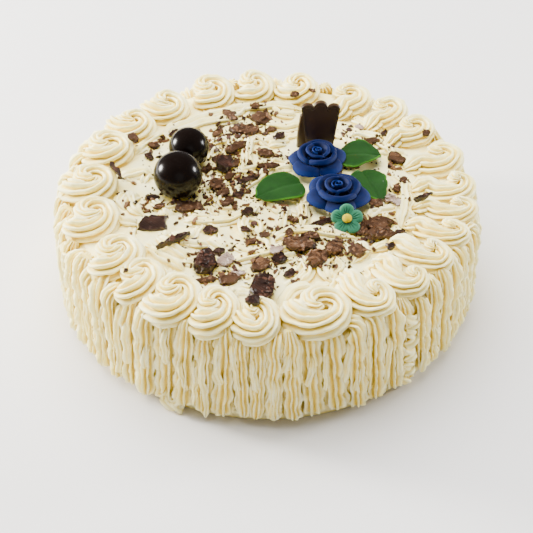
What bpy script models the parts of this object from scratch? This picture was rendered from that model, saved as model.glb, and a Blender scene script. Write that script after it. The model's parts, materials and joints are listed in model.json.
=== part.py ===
"""Round cream cake with piped rosettes, ribbed sides, chocolate flakes and sugar flowers.

The cake stands on z = 0 round the Z axis and its front faces -Y. The tables of places and
sizes are in millimetres and degrees; MM turns them to metres.
"""
import math
import random

import bmesh
import bpy
from mathutils import Matrix, Vector
from mathutils.bvhtree import BVHTree

MM = 0.001

# Cake body
SIDE_RADIUS = 129.8 * MM
FOOT_FLARE = 1.2 * MM
SHOULDER_RADIUS = 125.0 * MM
TOP_HEIGHT = 69.0 * MM
STRAND_TOP = 61.5 * MM
STRAND_MIDDLE = 32.0 * MM
TIP_HEIGHT = 4.0 * MM
TIP_INSET = 1.5 * MM

# Ribs of one piped strand: place across the strand and radial offset of each line
STRAND_COUNT = 70
STRAND_LINES = ((0.00, -2.4), (0.25, 1.1), (0.52, -0.7), (0.77, 1.0))
STRAND_WIDTH_SPREAD = 0.16
LINE_DRIFT = 0.8 * MM
LEAN_STEP = 0.9 * MM

# Border rosettes: angle, ring radius, half length outwards, half length around, height
ROSETTES = (
    (-119, 108.5, 21.5, 19.5, 12.5), (-133, 110.0, 20.5, 16.5, 11.0), (-146, 108.0, 21.5, 19.0, 12.5),
    (-166, 109.5, 21.0, 20.0, 12.0), (176, 110.0, 21.0, 20.0, 12.5), (157, 110.5, 20.5, 20.0, 12.0),
    (142, 111.5, 19.5, 17.5, 12.5), (127, 111.0, 20.0, 18.0, 12.0), (110, 111.5, 19.5, 18.0, 12.0),
    (95, 111.5, 19.5, 16.5, 12.5), (80, 111.0, 19.5, 17.5, 11.5), (62, 110.5, 20.0, 18.5, 12.0),
    (47, 111.5, 19.5, 16.0, 12.5), (34, 111.0, 20.0, 16.5, 11.5), (17, 110.5, 20.5, 18.5, 12.0),
    (2, 110.5, 20.5, 16.0, 12.5), (-9, 111.0, 20.0, 13.5, 11.5), (-20, 110.5, 20.5, 14.5, 12.0),
    (-32, 108.5, 22.0, 16.0, 12.0), (-45, 110.5, 20.5, 17.0, 11.5), (-58, 108.5, 22.0, 17.5, 12.0),
    (-75, 108.0, 22.5, 22.5, 12.0), (-93, 113.0, 17.5, 15.0, 9.5), (-106, 109.5, 19.5, 17.0, 12.0),
)
ROSETTE_SEGMENTS = 15
ROSETTE_TURNS = 2.3
ROSETTE_RIDGE = 1.5 * MM
ROSETTE_SINK = 2.6 * MM

# Piped strokes on the top: width, height and the points they pass through
STROKES = (
    (11, 4.5, ((-72, 58), (-50, 75), (-22, 88), (8, 92), (30, 86))),
    (10, 4.0, ((-62, 62), (-40, 75), (-16, 79))),
    (10, 4.0, ((-85, 40), (-76, 54), (-66, 64))),
    (11, 4.5, ((-92, 16), (-79, 21), (-72, 17))),
    (10, 4.5, ((-85, 2), (-82, -12), (-75, -21))),
    (9, 3.5, ((-71, -8), (-62, -14), (-52, -11))),
    (9, 4.5, ((-12, 58), (-13, 38), (-12, 20))),
    (9, 3.5, ((-3, 56), (8, 54), (15, 58))),
    (10, 4.0, ((-2, 74), (12, 69), (24, 74))),
    (9, 4.0, ((4, 32), (-6, 14), (-17, 4))),
    (11, 4.5, ((-53, -24), (-36, -28), (-18, -23), (-8, -12))),
    (10, 4.5, ((-6, -12), (-14, -28), (-11, -44))),
    (9, 5.0, ((11, -14), (10, -24), (8, -36))),
    (9, 5.0, ((21, -12), (22, -22), (20, -33))),
    (11, 4.5, ((0, -46), (18, -35), (38, -40), (54, -42))),
    (11, 4.5, ((-22, -63), (-4, -58), (14, -50), (30, -43))),
    (9, 4.0, ((-58, -38), (-46, -47), (-33, -49))),
    (9, 4.0, ((62, -18), (72, -16), (80, -12))),
    (10, 5.0, ((85, 14), (84, -8), (80, -33))),
    (10, 4.5, ((77, -30), (75, -44), (60, -55))),
    (10, 4.5, ((20, -60), (24, -73), (17, -84))),
    (9, 4.0, ((53, -46), (57, -55), (49, -65))),
    (10, 4.0, ((66, 60), (76, 48), (83, 34))),
    (9, 4.0, ((56, 80), (66, 70), (72, 62))),
)
STROKE_STATIONS = 6

# Chocolate pieces lying loose: name, x, y, length, width, thickness, turn, lean, points round the edge
SHARDS = (
    ("shard_left", -69, -30, 22, 16, 1.6, 8, 9, 9),
    ("stick_left", -54, -49, 27, 4.6, 3.2, 37, 3, 6),
    ("stick_border_left", -93, 11, 23, 4.2, 2.6, -60, 12, 6),
    ("curl_upper_left", -85, 44, 12, 6, 2.2, -42, 10, 6),
    ("block_front", -3, -90, 27, 16, 5.5, 82, 10, 9),
    ("block_front_left", -36, -67, 22, 13, 5.0, 78, 8, 8),
    ("flat_front_left", -22, -80, 13, 10, 2.0, 10, 8, 7),
    ("curl_front_mid", -4, -68, 14, 10, 3.0, 38, 12, 7),
    ("flake_right_a", 18, -52, 23, 11, 2.4, -4, 7, 8),
    ("flake_right_b", 29, -65, 16, 12, 3.2, 62, 10, 7),
    ("flake_right_c", 39, -53, 17, 11, 3.0, 48, 11, 8),
    ("flat_right", 52, -57, 14, 11, 1.8, -50, 8, 7),
    ("flake_right_edge", 67, -43, 24, 9, 3.0, -6, 8, 8),
    ("flake_right_edge_back", 67, -31, 19, 12, 2.8, 20, 9, 8),
    ("flat_middle_left", -47, -14, 21, 10, 2.0, 8, 6, 8),
    ("block_middle", -27, 28, 17, 13, 4.0, 70, 12, 7),
    ("splinter_middle", -20, 44, 21, 5.5, 2.2, 38, 10, 6),
    ("flat_back", -15, 65, 24, 9, 2.2, -4, 7, 8),
    ("flat_back_upper", -4, 78, 16, 12, 2.0, -30, 9, 8),
    ("flake_far_right", 82, 33, 15, 9, 2.2, -34, 10, 7),
    ("stick_border_right", 94, -17, 17, 3.2, 2.2, 32, 6, 5),
)

# Small flakes fused to the cream: x, y, length, width, thickness, turn, lean, points
FLAKES = (
    (-25, 79, 15, 6, 1.8, -48, 12, 6), (-1, 40, 13, 7, 2.0, 4, 10, 6), (0, 24, 14, 5, 1.8, 6, 8, 6),
    (-11, 11, 17, 3.6, 1.8, 30, 6, 5), (-31, 6, 12, 8, 2.2, 60, 12, 6), (8, 55, 9, 5, 2.0, 20, 10, 5),
    (-60, 60, 9, 5, 2.0, 68, 12, 5), (18, 95, 6, 5, 1.6, 10, 12, 5), (66, 52, 12, 5, 1.6, 16, 8, 6),
    (75, 56, 6, 5, 2.0, 40, 14, 5), (-34, -36, 9, 6, 2.0, -6, 10, 6), (-28, -55, 8, 4.5, 2.0, 14, 8, 5),
    (-13, -38, 7, 4, 2.0, -22, 8, 5), (-12, -22, 8, 6, 2.0, 30, 12, 6), (7, -61, 9, 8, 2.2, 12, 12, 6),
    (13, -76, 8, 5, 2.0, 50, 14, 5), (72, -58, 6, 5, 2.4, 60, 14, 5), (75, -6, 9, 7, 1.8, 24, 12, 6),
    (66, -13, 10, 6, 1.8, -8, 8, 6), (31, -29, 10, 3.6, 1.6, 22, 6, 5), (-24, -65, 12, 8, 3.0, 30, 14, 6),
    (-36, -80, 15, 4, 1.8, 8, 6, 5), (-8, -107, 9, 6, 2.4, -14, 10, 6), (26, -43, 10, 6, 2.0, -20, 10, 6),
    (79, -42, 8, 6, 2.2, 30, 12, 5), (57, -36, 10, 8, 2.4, 50, 12, 6), (-24, -11, 9, 5, 1.6, 36, 10, 5),
    (-73, 48, 7, 5, 1.8, -10, 8, 5), (-75, 37, 8, 5, 1.8, -50, 10, 5), (-70, -4, 9, 4, 1.8, 0, 8, 5),
    (-66, -15, 8, 4, 1.6, 30, 8, 5), (-59, 48, 6, 4, 1.6, -20, 8, 5), (-24, 16, 9, 6, 2.0, 50, 12, 6),
    (-36, 46, 8, 5, 1.8, 60, 10, 5), (-33, 62, 9, 5, 1.8, 46, 10, 5), (60, 66, 7, 4, 1.6, -50, 10, 5),
    (80, 2, 6, 5, 2.0, 30, 10, 5), (84, 10, 6, 4, 1.8, 50, 10, 5), (102, 53, 6, 5, 1.8, 20, 10, 5),
    (-2, -44, 8, 5, 1.8, -20, 10, 5), (-9, -46, 8, 4, 1.6, 10, 8, 5), (13, -40, 7, 5, 1.8, 70, 10, 5),
    (30, 100, 7, 3, 1.4, -34, 8, 5), (2, 66, 9, 4, 1.8, 10, 10, 5), (-8, 88, 7, 5, 1.8, 70, 12, 5),
    (-80, -82, 5, 2.6, 1.4, 60, 8, 5), (37, -26, 7, 4, 1.6, 24, 8, 5), (14, -26, 5, 4, 1.6, -40, 8, 5),
)

DRAW_SEED = 64
CAKE_TRIANGLES = 8600

GAP = 0.35 * MM
WELD = 0.0001 * MM
CORNER_GROW = 0.80 * MM

# Chocolate balls: name, x, y, z, radius
BALLS = (
    ("ball_front", -54.4, 1.3, 83.0, 15.0),
    ("ball_back", -49.0, 31.2, 82.0, 12.6),
)

# Roses: name, x, y, outer radius, turn
ROSES = (
    ("rose_back", 31.5, 26.8, 16.0, 20),
    ("rose_front", 42.8, -7.6, 17.2, -16),
)
ROSE_BASE = TOP_HEIGHT + GAP
ROSE_HEART = 12.5 * MM
PETAL_THICKNESS = 1.1 * MM
ROSE_TRIANGLES = 640

# Petal layers: petals, turn, inner and outer share of the radius, low, high, half spread, droop
ROSE_LAYERS = (
    (5, 0, 0.36, 1.00, 1.6, 9.0, 42, 0.9),
    (4, 30, 0.30, 0.70, 3.4, 12.6, 48, 0.4),
    (3, 15, 0.18, 0.38, 5.6, 14.4, 62, 0.0),
    (2, 70, 0.05, 0.17, 8.0, 15.0, 78, 0.0),
)

# Leaves: name, base, tip, half width, base height, tip height, edge wave
LEAVES = (
    ("leaf_left", (21, 9), (-6, -6), 15.5, 70.2, 70.6, 0.9),
    ("leaf_back_right", (45, 37), (72, 32), 14.5, 70.2, 73.4, 1.1),
    ("leaf_right", (59, 21), (69, -10), 12.0, 70.2, 70.6, 0.8),
)
LEAF_THICKNESS = 1.3 * MM
LEAF_CURL = 0.8 * MM
LEAF_RISE = 1.2 * MM
LEAF_TIP_HALF = 0.7 * MM

# Flower: the rings of its petals as share of the radius, top and underside
FLOWER_CENTRE = (47.5, -32.5, 75.8)
FLOWER_RADIUS = 9.4 * MM
FLOWER_LEAN = 30
FLOWER_RINGS = ((0.42, 0.5, -1.5), (0.76, 1.3, -1.2), (1.0, 0.35, -0.3))
FLOWER_TOP = 0.2 * MM
FLOWER_UNDER = -1.6 * MM
PETAL_NOTCH = 0.30
EYE_RADIUS = 2.9 * MM
EYE_LOW = 1.3 * MM
EYE_HEIGHT = 1.9 * MM
EYE_RINGS = ((0.55, 1.7), (0.92, 1.0), (1.0, 0.45), (0.9, 0.0))

# Upright plaque and the plainer plate behind its left edge
PLAQUE_CENTRE = (33.6, 47.4)
PLAQUE_HEIGHT = 42.5 * MM
PLAQUE_THICKNESS = 3.0 * MM
PLAQUE_SINK = 4.0 * MM
PLAQUE_HALF_LOW = 7.6 * MM
PLAQUE_LOBE = 4.3 * MM
PLAQUE_LOBE_STEP = 8.2 * MM
PLAQUE_MIDDLE_LIFT = 2.0 * MM
PLAQUE_RIM = 1.1 * MM
PLAQUE_RECESS = 0.5 * MM
BACKING_CENTRE = (24.4, 51.6)
BACKING_TURN = 24
BACKING_SINK = 3.0 * MM
BACKING_THICKNESS = 2.2
BACKING_OUTLINE = (
    (-6.0, 0.0), (6.0, 0.0), (5.2, 14.0), (4.0, 27.0), (0.0, 28.5), (-3.6, 27.0), (-5.4, 14.0),
)

BALL_SEGMENTS = 20
BALL_RINGS = 12
BALL_ROOM = 0.1

# Share of its thickness by which a piece lies above the cream
SHARD_LIFT = 0.35
FLAKE_LIFT = 0.15

# Surfaces: linear colour, roughness, metallic
SURFACES = {
    "whipped_cream": ((0.93, 0.86, 0.68), 0.5, 0.0),
    "dark_chocolate": ((0.03, 0.016, 0.012), 0.25, 0.0),
    "milk_chocolate": ((0.16, 0.07, 0.035), 0.45, 0.0),
    "blue_marzipan": ((0.015, 0.045, 0.20), 0.5, 0.0),
    "green_marzipan": ((0.045, 0.18, 0.03), 0.45, 0.0),
    "mint_sugar_paste": ((0.07, 0.28, 0.17), 0.6, 0.0),
    "yellow_sugar_paste": ((0.78, 0.62, 0.12), 0.6, 0.0),
}

# Surface of each object, by the first word of its name
SURFACE_OF = {
    "cake": "whipped_cream", "ball": "dark_chocolate", "rose": "blue_marzipan",
    "leaf": "green_marzipan", "flower": "mint_sugar_paste", "plaque": "dark_chocolate",
    "shard": "dark_chocolate", "stick": "dark_chocolate", "block": "dark_chocolate",
    "curl": "milk_chocolate", "flat": "milk_chocolate", "flake": "milk_chocolate",
    "splinter": "milk_chocolate",
}


def clear_scene():
    for old in list(bpy.data.objects):
        bpy.data.objects.remove(old, do_unlink=True)


def mesh_object(name, points, faces):
    mesh = bpy.data.meshes.new(name)
    mesh.from_pydata([tuple(p) for p in points], [], faces)
    mesh.update()
    made = bpy.data.objects.new(name, mesh)
    bpy.context.scene.collection.objects.link(made)
    return made


def tidy_mesh(made, keep_largest=False):
    """Weld, turn the faces outwards and split into triangles."""
    work = bmesh.new()
    work.from_mesh(made.data)
    bmesh.ops.remove_doubles(work, verts=work.verts, dist=WELD)
    bmesh.ops.triangulate(work, faces=work.faces)
    if keep_largest:
        drop_scraps(work)
    bmesh.ops.recalc_face_normals(work, faces=work.faces)
    work.to_mesh(made.data)
    work.free()
    made.data.update()


def drop_scraps(work):
    """Keep only the largest connected body."""
    left = set(work.faces)
    bodies = []
    while left:
        body = {left.pop()}
        waiting = list(body)
        while waiting:
            face = waiting.pop()
            for edge in face.edges:
                for other in edge.link_faces:
                    if other in left:
                        left.discard(other)
                        body.add(other)
                        waiting.append(other)
        bodies.append(body)
    bodies.sort(key=len, reverse=True)
    scraps = [face for body in bodies[1:] for face in body]
    if scraps:
        bmesh.ops.delete(work, geom=scraps, context="FACES")


def combine(target, others, operation):
    """One Boolean between the target and a collection, applied and cleared away."""
    group = bpy.data.collections.new("operands")
    bpy.context.scene.collection.children.link(group)
    for other in others:
        bpy.context.scene.collection.objects.unlink(other)
        group.objects.link(other)
        other.display_type = "WIRE"
        other.hide_render = True
    cut = target.modifiers.new("combine", "BOOLEAN")
    cut.operand_type = "COLLECTION"
    cut.collection = group
    cut.operation = operation
    cut.solver = "EXACT"
    graph = bpy.context.evaluated_depsgraph_get()
    result = bpy.data.meshes.new_from_object(target.evaluated_get(graph))
    target.modifiers.remove(cut)
    target.data = result
    for other in list(group.objects):
        bpy.data.objects.remove(other, do_unlink=True)
    bpy.data.collections.remove(group)
    return target


def thin_out(made, triangles):
    """Collapse the shortest and flattest edges until the given count is left."""
    limit = made.modifiers.new("thin_out", "DECIMATE")
    limit.decimate_type = "COLLAPSE"
    limit.ratio = min(1.0, triangles / len(made.data.polygons))
    graph = bpy.context.evaluated_depsgraph_get()
    result = bpy.data.meshes.new_from_object(made.evaluated_get(graph))
    made.modifiers.remove(limit)
    made.data = result
    return made


def finish(made, surface):
    """Give the object a material of its own with the surface's colour and gloss."""
    colour, roughness, metallic = SURFACES[surface]
    material = bpy.data.materials.new(made.name + "_" + surface)
    material.use_nodes = True
    shader = material.node_tree.nodes["Principled BSDF"]
    shader.inputs["Base Color"].default_value = (*colour, 1.0)
    shader.inputs["Roughness"].default_value = roughness
    shader.inputs["Metallic"].default_value = metallic
    made.data.materials.clear()
    made.data.materials.append(material)
    return made


def cake_core(draw):
    """Closed body with ribbed sides; rounded strand tips stand on the foot."""
    widths = [1.0 + draw.uniform(-STRAND_WIDTH_SPREAD, STRAND_WIDTH_SPREAD) for _ in range(STRAND_COUNT)]
    turn = 2.0 * math.pi / sum(widths)
    lines = []
    start = 0.0
    lean = 0.0
    for width in widths:
        bulge = draw.uniform(-0.6, 0.7) * MM
        lean = 0.8 * lean + draw.uniform(-LEAN_STEP, LEAN_STEP) / SIDE_RADIUS
        top = STRAND_TOP + draw.uniform(-3.0, 2.0) * MM
        for place, offset in STRAND_LINES:
            lines.append({
                "angle": start + place * width * turn,
                "offset": bulge + (offset + draw.uniform(-0.3, 0.3)) * MM,
                "lean": lean,
                "top": top,
                "drift": [draw.uniform(-LINE_DRIFT, LINE_DRIFT) * 0.5 / SIDE_RADIUS for _ in range(3)],
            })
        start += width * turn

    points = []
    rows = []
    heights = ((TIP_HEIGHT, FOOT_FLARE, 1.0), (STRAND_MIDDLE, 0.0, 0.0), (None, 0.4 * MM, -1.0))
    for number, (height, flare, lean_share) in enumerate(heights):
        row = []
        for line in lines:
            angle = line["angle"] + line["lean"] * lean_share + line["drift"][number]
            radius = SIDE_RADIUS + flare + line["offset"]
            row.append(len(points))
            z = line["top"] if height is None else height
            points.append((radius * math.cos(angle), radius * math.sin(angle), z))
        rows.append(row)

    count = len(lines)
    foot = []
    shoulder = []
    for number in range(0, count, 2):
        crest = lines[number + 1]
        angle = crest["angle"] + crest["lean"]
        radius = SIDE_RADIUS + FOOT_FLARE + crest["offset"] - TIP_INSET
        foot.append(len(points))
        points.append((radius * math.cos(angle), radius * math.sin(angle), 0.0))
        angle = lines[number]["angle"]
        shoulder.append(len(points))
        points.append((SHOULDER_RADIUS * math.cos(angle), SHOULDER_RADIUS * math.sin(angle), TOP_HEIGHT))

    faces = []
    half = count // 2
    for number in range(count):
        after = (number + 1) % count
        for low, high in zip(rows, rows[1:]):
            faces.append((low[number], low[after], high[after], high[number]))
    for pair in range(half):
        valley = 2 * pair
        crest = valley + 1
        after = (valley + 2) % count
        pair_after = (pair + 1) % half
        low = rows[0]
        faces.append((foot[pair], low[crest], low[valley]))
        faces.append((foot[pair], low[after], low[crest]))
        faces.append((foot[pair], foot[pair_after], low[after]))
        high = rows[-1]
        faces.append((high[valley], high[crest], shoulder[pair]))
        faces.append((high[crest], shoulder[pair_after], shoulder[pair]))
        faces.append((high[crest], high[after], shoulder[pair_after]))
    faces.append(tuple(reversed(foot)))
    faces.append(tuple(shoulder))
    core = mesh_object("cake", points, faces)
    tidy_mesh(core)
    return core


def rosette(angle, ring, reach_out, reach_round, height, draw):
    """Mound whose ridge winds in a spiral from the rim up to the middle."""
    turn = math.radians(angle)
    outward = Vector((math.cos(turn), math.sin(turn), 0.0))
    around = Vector((-math.sin(turn), math.cos(turn), 0.0))
    centre = outward * ring * MM + Vector((0.0, 0.0, TOP_HEIGHT))
    phase = draw.uniform(0.0, 2.0 * math.pi)
    shift = draw.uniform(-3.0, 0.5) * MM
    step = 0.5 / ROSETTE_TURNS
    points = []
    keyed = {}

    def place(spread, theta, z):
        across = reach_out * MM * spread * math.cos(theta) + shift * (1.0 - spread)
        along = reach_round * MM * spread * math.sin(theta)
        points.append(centre + outward * across + around * along + Vector((0.0, 0.0, z)))
        return len(points) - 1

    def vertex(ring_number, segment):
        if segment == ROSETTE_SEGMENTS:
            ring_number += 2
            segment = 0
        spread = (ring_number + 2.0 * segment / ROSETTE_SEGMENTS - 2.0) * step
        theta = phase + 2.0 * math.pi * segment / ROSETTE_SEGMENTS
        if spread <= 0.12:
            key = "middle"
            spread = 0.0
            ridge = 0.5
        elif spread >= 0.96:
            key = ("rim", segment)
            spread = 1.0
            ridge = 0.0
        else:
            key = (ring_number, segment)
            ridge = 1.0 if ring_number % 2 else -1.0
        if key not in keyed:
            dome = height * MM * (0.30 + 0.70 * math.sqrt(max(0.0, 1.0 - spread ** 2.1)))
            keyed[key] = place(spread, theta, dome + ridge * ROSETTE_RIDGE)
        return keyed[key]

    faces = []
    last = int(math.ceil(1.0 / step)) + 2
    for ring_number in range(last):
        for segment in range(ROSETTE_SEGMENTS):
            loop = (
                vertex(ring_number, segment), vertex(ring_number + 1, segment),
                vertex(ring_number + 1, segment + 1), vertex(ring_number, segment + 1),
            )
            kept = [v for corner, v in enumerate(loop) if v != loop[corner - 1]]
            if len(set(kept)) >= 3:
                faces.append(tuple(kept))
    rim = [keyed[("rim", segment)] for segment in range(ROSETTE_SEGMENTS)]
    rings = [rim]
    for spread, z in ((0.98, 0.04 * height * MM), (0.84, -ROSETTE_SINK)):
        rings.append([
            place(spread, phase + 2.0 * math.pi * segment / ROSETTE_SEGMENTS, z)
            for segment in range(ROSETTE_SEGMENTS)
        ])
    for upper, lower in zip(rings, rings[1:]):
        for segment in range(ROSETTE_SEGMENTS):
            after = (segment + 1) % ROSETTE_SEGMENTS
            faces.append((upper[segment], lower[segment], lower[after], upper[after]))
    faces.append(tuple(reversed(rings[-1])))
    made = mesh_object("rosette", points, faces)
    tidy_mesh(made)
    return made


def curve_points(corners, count):
    """Points spaced evenly along a smooth line through the corners."""
    dense = []
    for number in range(len(corners) - 1):
        before = Vector(corners[max(number - 1, 0)])
        start = Vector(corners[number])
        end = Vector(corners[number + 1])
        after = Vector(corners[min(number + 2, len(corners) - 1)])
        for part in range(12):
            t = part / 12.0
            dense.append(0.5 * (
                2.0 * start + (end - before) * t
                + (2.0 * before - 5.0 * start + 4.0 * end - after) * t * t
                + (3.0 * start - before - 3.0 * end + after) * t ** 3
            ))
    dense.append(Vector(corners[-1]))
    total = sum((b - a).length for a, b in zip(dense, dense[1:]))
    spaced = [dense[0]]
    wanted = total / (count - 1)
    walked = 0.0
    for a, b in zip(dense, dense[1:]):
        piece = (b - a).length
        while len(spaced) < count - 1 and walked + piece >= wanted * len(spaced):
            spaced.append(a.lerp(b, (wanted * len(spaced) - walked) / piece))
        walked += piece
    spaced.append(dense[-1])
    return spaced


def stroke(width, height, corners):
    """Ribbed rope of cream laid along the top, tapered at both ends."""
    spine = curve_points([(x * MM, y * MM) for x, y in corners], STROKE_STATIONS)
    section = ((-1.0, -0.5), (-1.0, 0.25), (-0.52, 1.0), (0.0, 0.62), (0.52, 1.0), (1.0, 0.25), (1.0, -0.5))
    points = []
    for number, middle in enumerate(spine):
        ahead = spine[min(number + 1, len(spine) - 1)] - spine[max(number - 1, 0)]
        across = Vector((-ahead.y, ahead.x)).normalized()
        end = number in (0, len(spine) - 1)
        half = width * 0.5 * MM * (0.45 if end else 1.0)
        rise = height * MM * (0.35 if end else 1.0)
        for side, up in section:
            spot = middle + across * side * half
            z = TOP_HEIGHT + (up * rise if up > 0.0 else -1.2 * MM)
            points.append((spot.x, spot.y, z))
    sides = len(section)
    faces = []
    for number in range(len(spine) - 1):
        for side in range(sides):
            after = (side + 1) % sides
            a = number * sides
            faces.append((a + side, a + after, a + sides + after, a + sides + side))
    faces.append(tuple(range(sides)))
    faces.append(tuple(reversed(range((len(spine) - 1) * sides, len(spine) * sides))))
    made = mesh_object("stroke", points, faces)
    tidy_mesh(made)
    return made


def surface_height(tree, x, y):
    hit = tree.ray_cast(Vector((x, y, 1.0)), Vector((0.0, 0.0, -1.0)))
    return hit[0].z if hit[0] else TOP_HEIGHT


def chip(name, tree, spec, draw, sink):
    """Broken plate of chocolate with an uneven edge, laid on what is below it."""
    x, y, length, width, thickness, turn, lean, corners = spec
    outline = []
    for number in range(corners):
        theta = 2.0 * math.pi * (number + draw.uniform(-0.22, 0.22)) / corners
        reach = 0.5 * draw.uniform(0.78, 1.06)
        outline.append(Vector((length * reach * math.cos(theta), width * reach * math.sin(theta))))
    spin = Matrix.Rotation(math.radians(turn), 4, "Z") @ Matrix.Rotation(math.radians(lean), 4, "X")
    points = []
    for level in (-0.5, 0.5):
        shrink = 1.0 if level < 0 else 0.9
        for spot in outline:
            bend = 0.05 * spot.length * draw.uniform(-0.4, 0.4)
            points.append(spin @ Vector((spot.x * shrink, spot.y * shrink, level * thickness + bend)) * MM)
    heights = [
        surface_height(tree, x * MM + p.x * 0.7, y * MM + p.y * 0.7) - p.z * 0.7
        for p in points[:corners]
    ]
    heights.sort()
    base = heights[(2 * len(heights)) // 3]
    lift = Vector((x * MM, y * MM, base + sink))
    points = [p + lift for p in points]
    faces = [tuple(reversed(range(corners))), tuple(range(corners, 2 * corners))]
    for number in range(corners):
        after = (number + 1) % corners
        faces.append((number, after, corners + after, corners + number))
    made = mesh_object(name, points, faces)
    tidy_mesh(made)
    return made


def pocket_for(made, grow=CORNER_GROW):
    """Convex cutter a little larger than the given body."""
    work = bmesh.new()
    for v in made.data.vertices:
        work.verts.new(v.co)
    hull = bmesh.ops.convex_hull(work, input=work.verts)
    inside = set(hull["geom_interior"]) | set(hull["geom_unused"])
    bmesh.ops.delete(work, geom=[v for v in inside if isinstance(v, bmesh.types.BMVert)], context="VERTS")
    bmesh.ops.recalc_face_normals(work, faces=work.faces)
    work.normal_update()
    for v in work.verts:
        v.co += v.normal * grow
    mesh = bpy.data.meshes.new("pocket")
    work.to_mesh(mesh)
    work.free()
    cutter = bpy.data.objects.new("pocket", mesh)
    bpy.context.scene.collection.objects.link(cutter)
    tidy_mesh(cutter)
    return cutter


def ball(name, x, y, z, radius):
    """Round ball, closed by a single point at the top and the bottom."""
    made = mesh_object(name, [], [])
    work = bmesh.new()
    bmesh.ops.create_uvsphere(work, u_segments=BALL_SEGMENTS, v_segments=BALL_RINGS, radius=radius * MM)
    bmesh.ops.translate(work, verts=work.verts, vec=Vector((x, y, z)) * MM)
    for face in work.faces:
        face.smooth = True
    work.to_mesh(made.data)
    work.free()
    return made


def shell_between(name, outer, inner, columns):
    """Closed solid between two grids of points that share one layout."""
    points = outer + inner
    count = len(outer)
    rows = count // columns
    faces = []
    for row in range(rows - 1):
        for column in range(columns - 1):
            a = row * columns + column
            quad = (a, a + 1, a + columns + 1, a + columns)
            for tri in ((quad[0], quad[1], quad[2]), (quad[0], quad[2], quad[3])):
                faces.append(tri)
                faces.append(tuple(count + v for v in reversed(tri)))
    border = [c for c in range(columns)]
    border += [r * columns + columns - 1 for r in range(1, rows)]
    border += [(rows - 1) * columns + c for c in range(columns - 2, -1, -1)]
    border += [r * columns for r in range(rows - 2, 0, -1)]
    for number, a in enumerate(border):
        b = border[(number + 1) % len(border)]
        faces.append((a, count + a, count + b, b))
    made = mesh_object(name, points, faces)
    tidy_mesh(made)
    return made


def rose_petal(middle, turn, inner, outer, low, high, spread, droop, rows=3, columns=5):
    """Curved petal standing on the heart of the rose and opening outwards."""
    front = []
    back = []
    for row in range(rows):
        t = row / (rows - 1.0)
        radius = inner + (outer - inner) * t ** 1.35
        z = low + (high - low) * math.sin(t * math.pi * 0.5) - droop * t ** 3
        for column in range(columns):
            s = 2.0 * column / (columns - 1.0) - 1.0
            theta = math.radians(turn) + math.radians(spread) * s * (0.72 + 0.28 * t)
            fall = (0.22 * (high - low) * t) * abs(s) ** 2.2
            reach = radius * (1.0 - 0.10 * t * s * s)
            direction = Vector((math.cos(theta), math.sin(theta), 0.0))
            spot = middle + direction * reach + Vector((0.0, 0.0, z - fall))
            thick = PETAL_THICKNESS * (1.15 - 0.35 * t)
            slope = (direction * 0.75 + Vector((0.0, 0.0, -0.65))).normalized()
            front.append(spot)
            back.append(spot + slope * thick)
    return shell_between("petal", front, back, columns)


def rose(name, x, y, radius, turn):
    """Heart, bud and three layers of petals joined into one body."""
    middle = Vector((x * MM, y * MM, 0.0))
    heart = mesh_object(name, [], [])
    work = bmesh.new()
    bmesh.ops.create_cone(
        work, segments=12, radius1=radius * 0.50 * MM, radius2=radius * 0.14 * MM, depth=ROSE_HEART,
        cap_ends=True,
    )
    bmesh.ops.translate(work, verts=work.verts, vec=middle + Vector((0.0, 0.0, ROSE_BASE + 0.5 * ROSE_HEART)))
    work.to_mesh(heart.data)
    work.free()
    tidy_mesh(heart)
    petals = []
    for count, offset, inner, outer, low, high, spread, droop in ROSE_LAYERS:
        for number in range(count):
            step = turn + offset + number * 360.0 / count + 6.0 * math.sin(3.1 * number + turn)
            scale = 1.0 + 0.04 * math.sin(2.3 * number + turn)
            petals.append(rose_petal(
                middle, step, inner * radius * MM, outer * radius * scale * MM,
                ROSE_BASE + low * MM, ROSE_BASE + high * MM, spread, droop * MM,
            ))
    combine(heart, petals, "UNION")
    tidy_mesh(heart, keep_largest=True)
    thin_out(heart, ROSE_TRIANGLES)
    tidy_mesh(heart)
    return heart


def leaf(name, base, tip, half_width, base_height, tip_height, wave):
    """Thin pointed leaf with a middle groove and a wavy edge."""
    start = Vector((*base, 0.0)) * MM
    end = Vector((*tip, 0.0)) * MM
    length = (end - start).length
    along = (end - start).normalized()
    across = Vector((-along.y, along.x, 0.0))
    rows = 8
    columns = 5
    under = []
    over = []
    for row in range(rows):
        t = row / (rows - 1.0)
        belly = math.sin(math.pi * t ** 0.72) if row < rows - 1 else 0.0
        half = half_width * MM * (0.16 + 0.84 * belly ** 0.75) * (1.0 - 0.10 * t)
        if row == rows - 1:
            half = LEAF_TIP_HALF
        z = (base_height + (tip_height - base_height) * t) * MM + LEAF_RISE * math.sin(math.pi * t)
        for column in range(columns):
            s = 2.0 * column / (columns - 1.0) - 1.0
            curl = LEAF_CURL * abs(s) - wave * MM * abs(s) ** 2 * math.sin(7.0 * t + 1.5 * s)
            spot = start + along * length * t + across * half * s + Vector((0.0, 0.0, z + curl))
            under.append(spot)
            over.append(spot + Vector((0.0, 0.0, LEAF_THICKNESS)))
    return shell_between(name, over, under, columns)


def flower_frame():
    lean = Matrix.Rotation(math.radians(FLOWER_LEAN), 4, "X")
    return Matrix.Translation(Vector(FLOWER_CENTRE) * MM) @ lean


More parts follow.
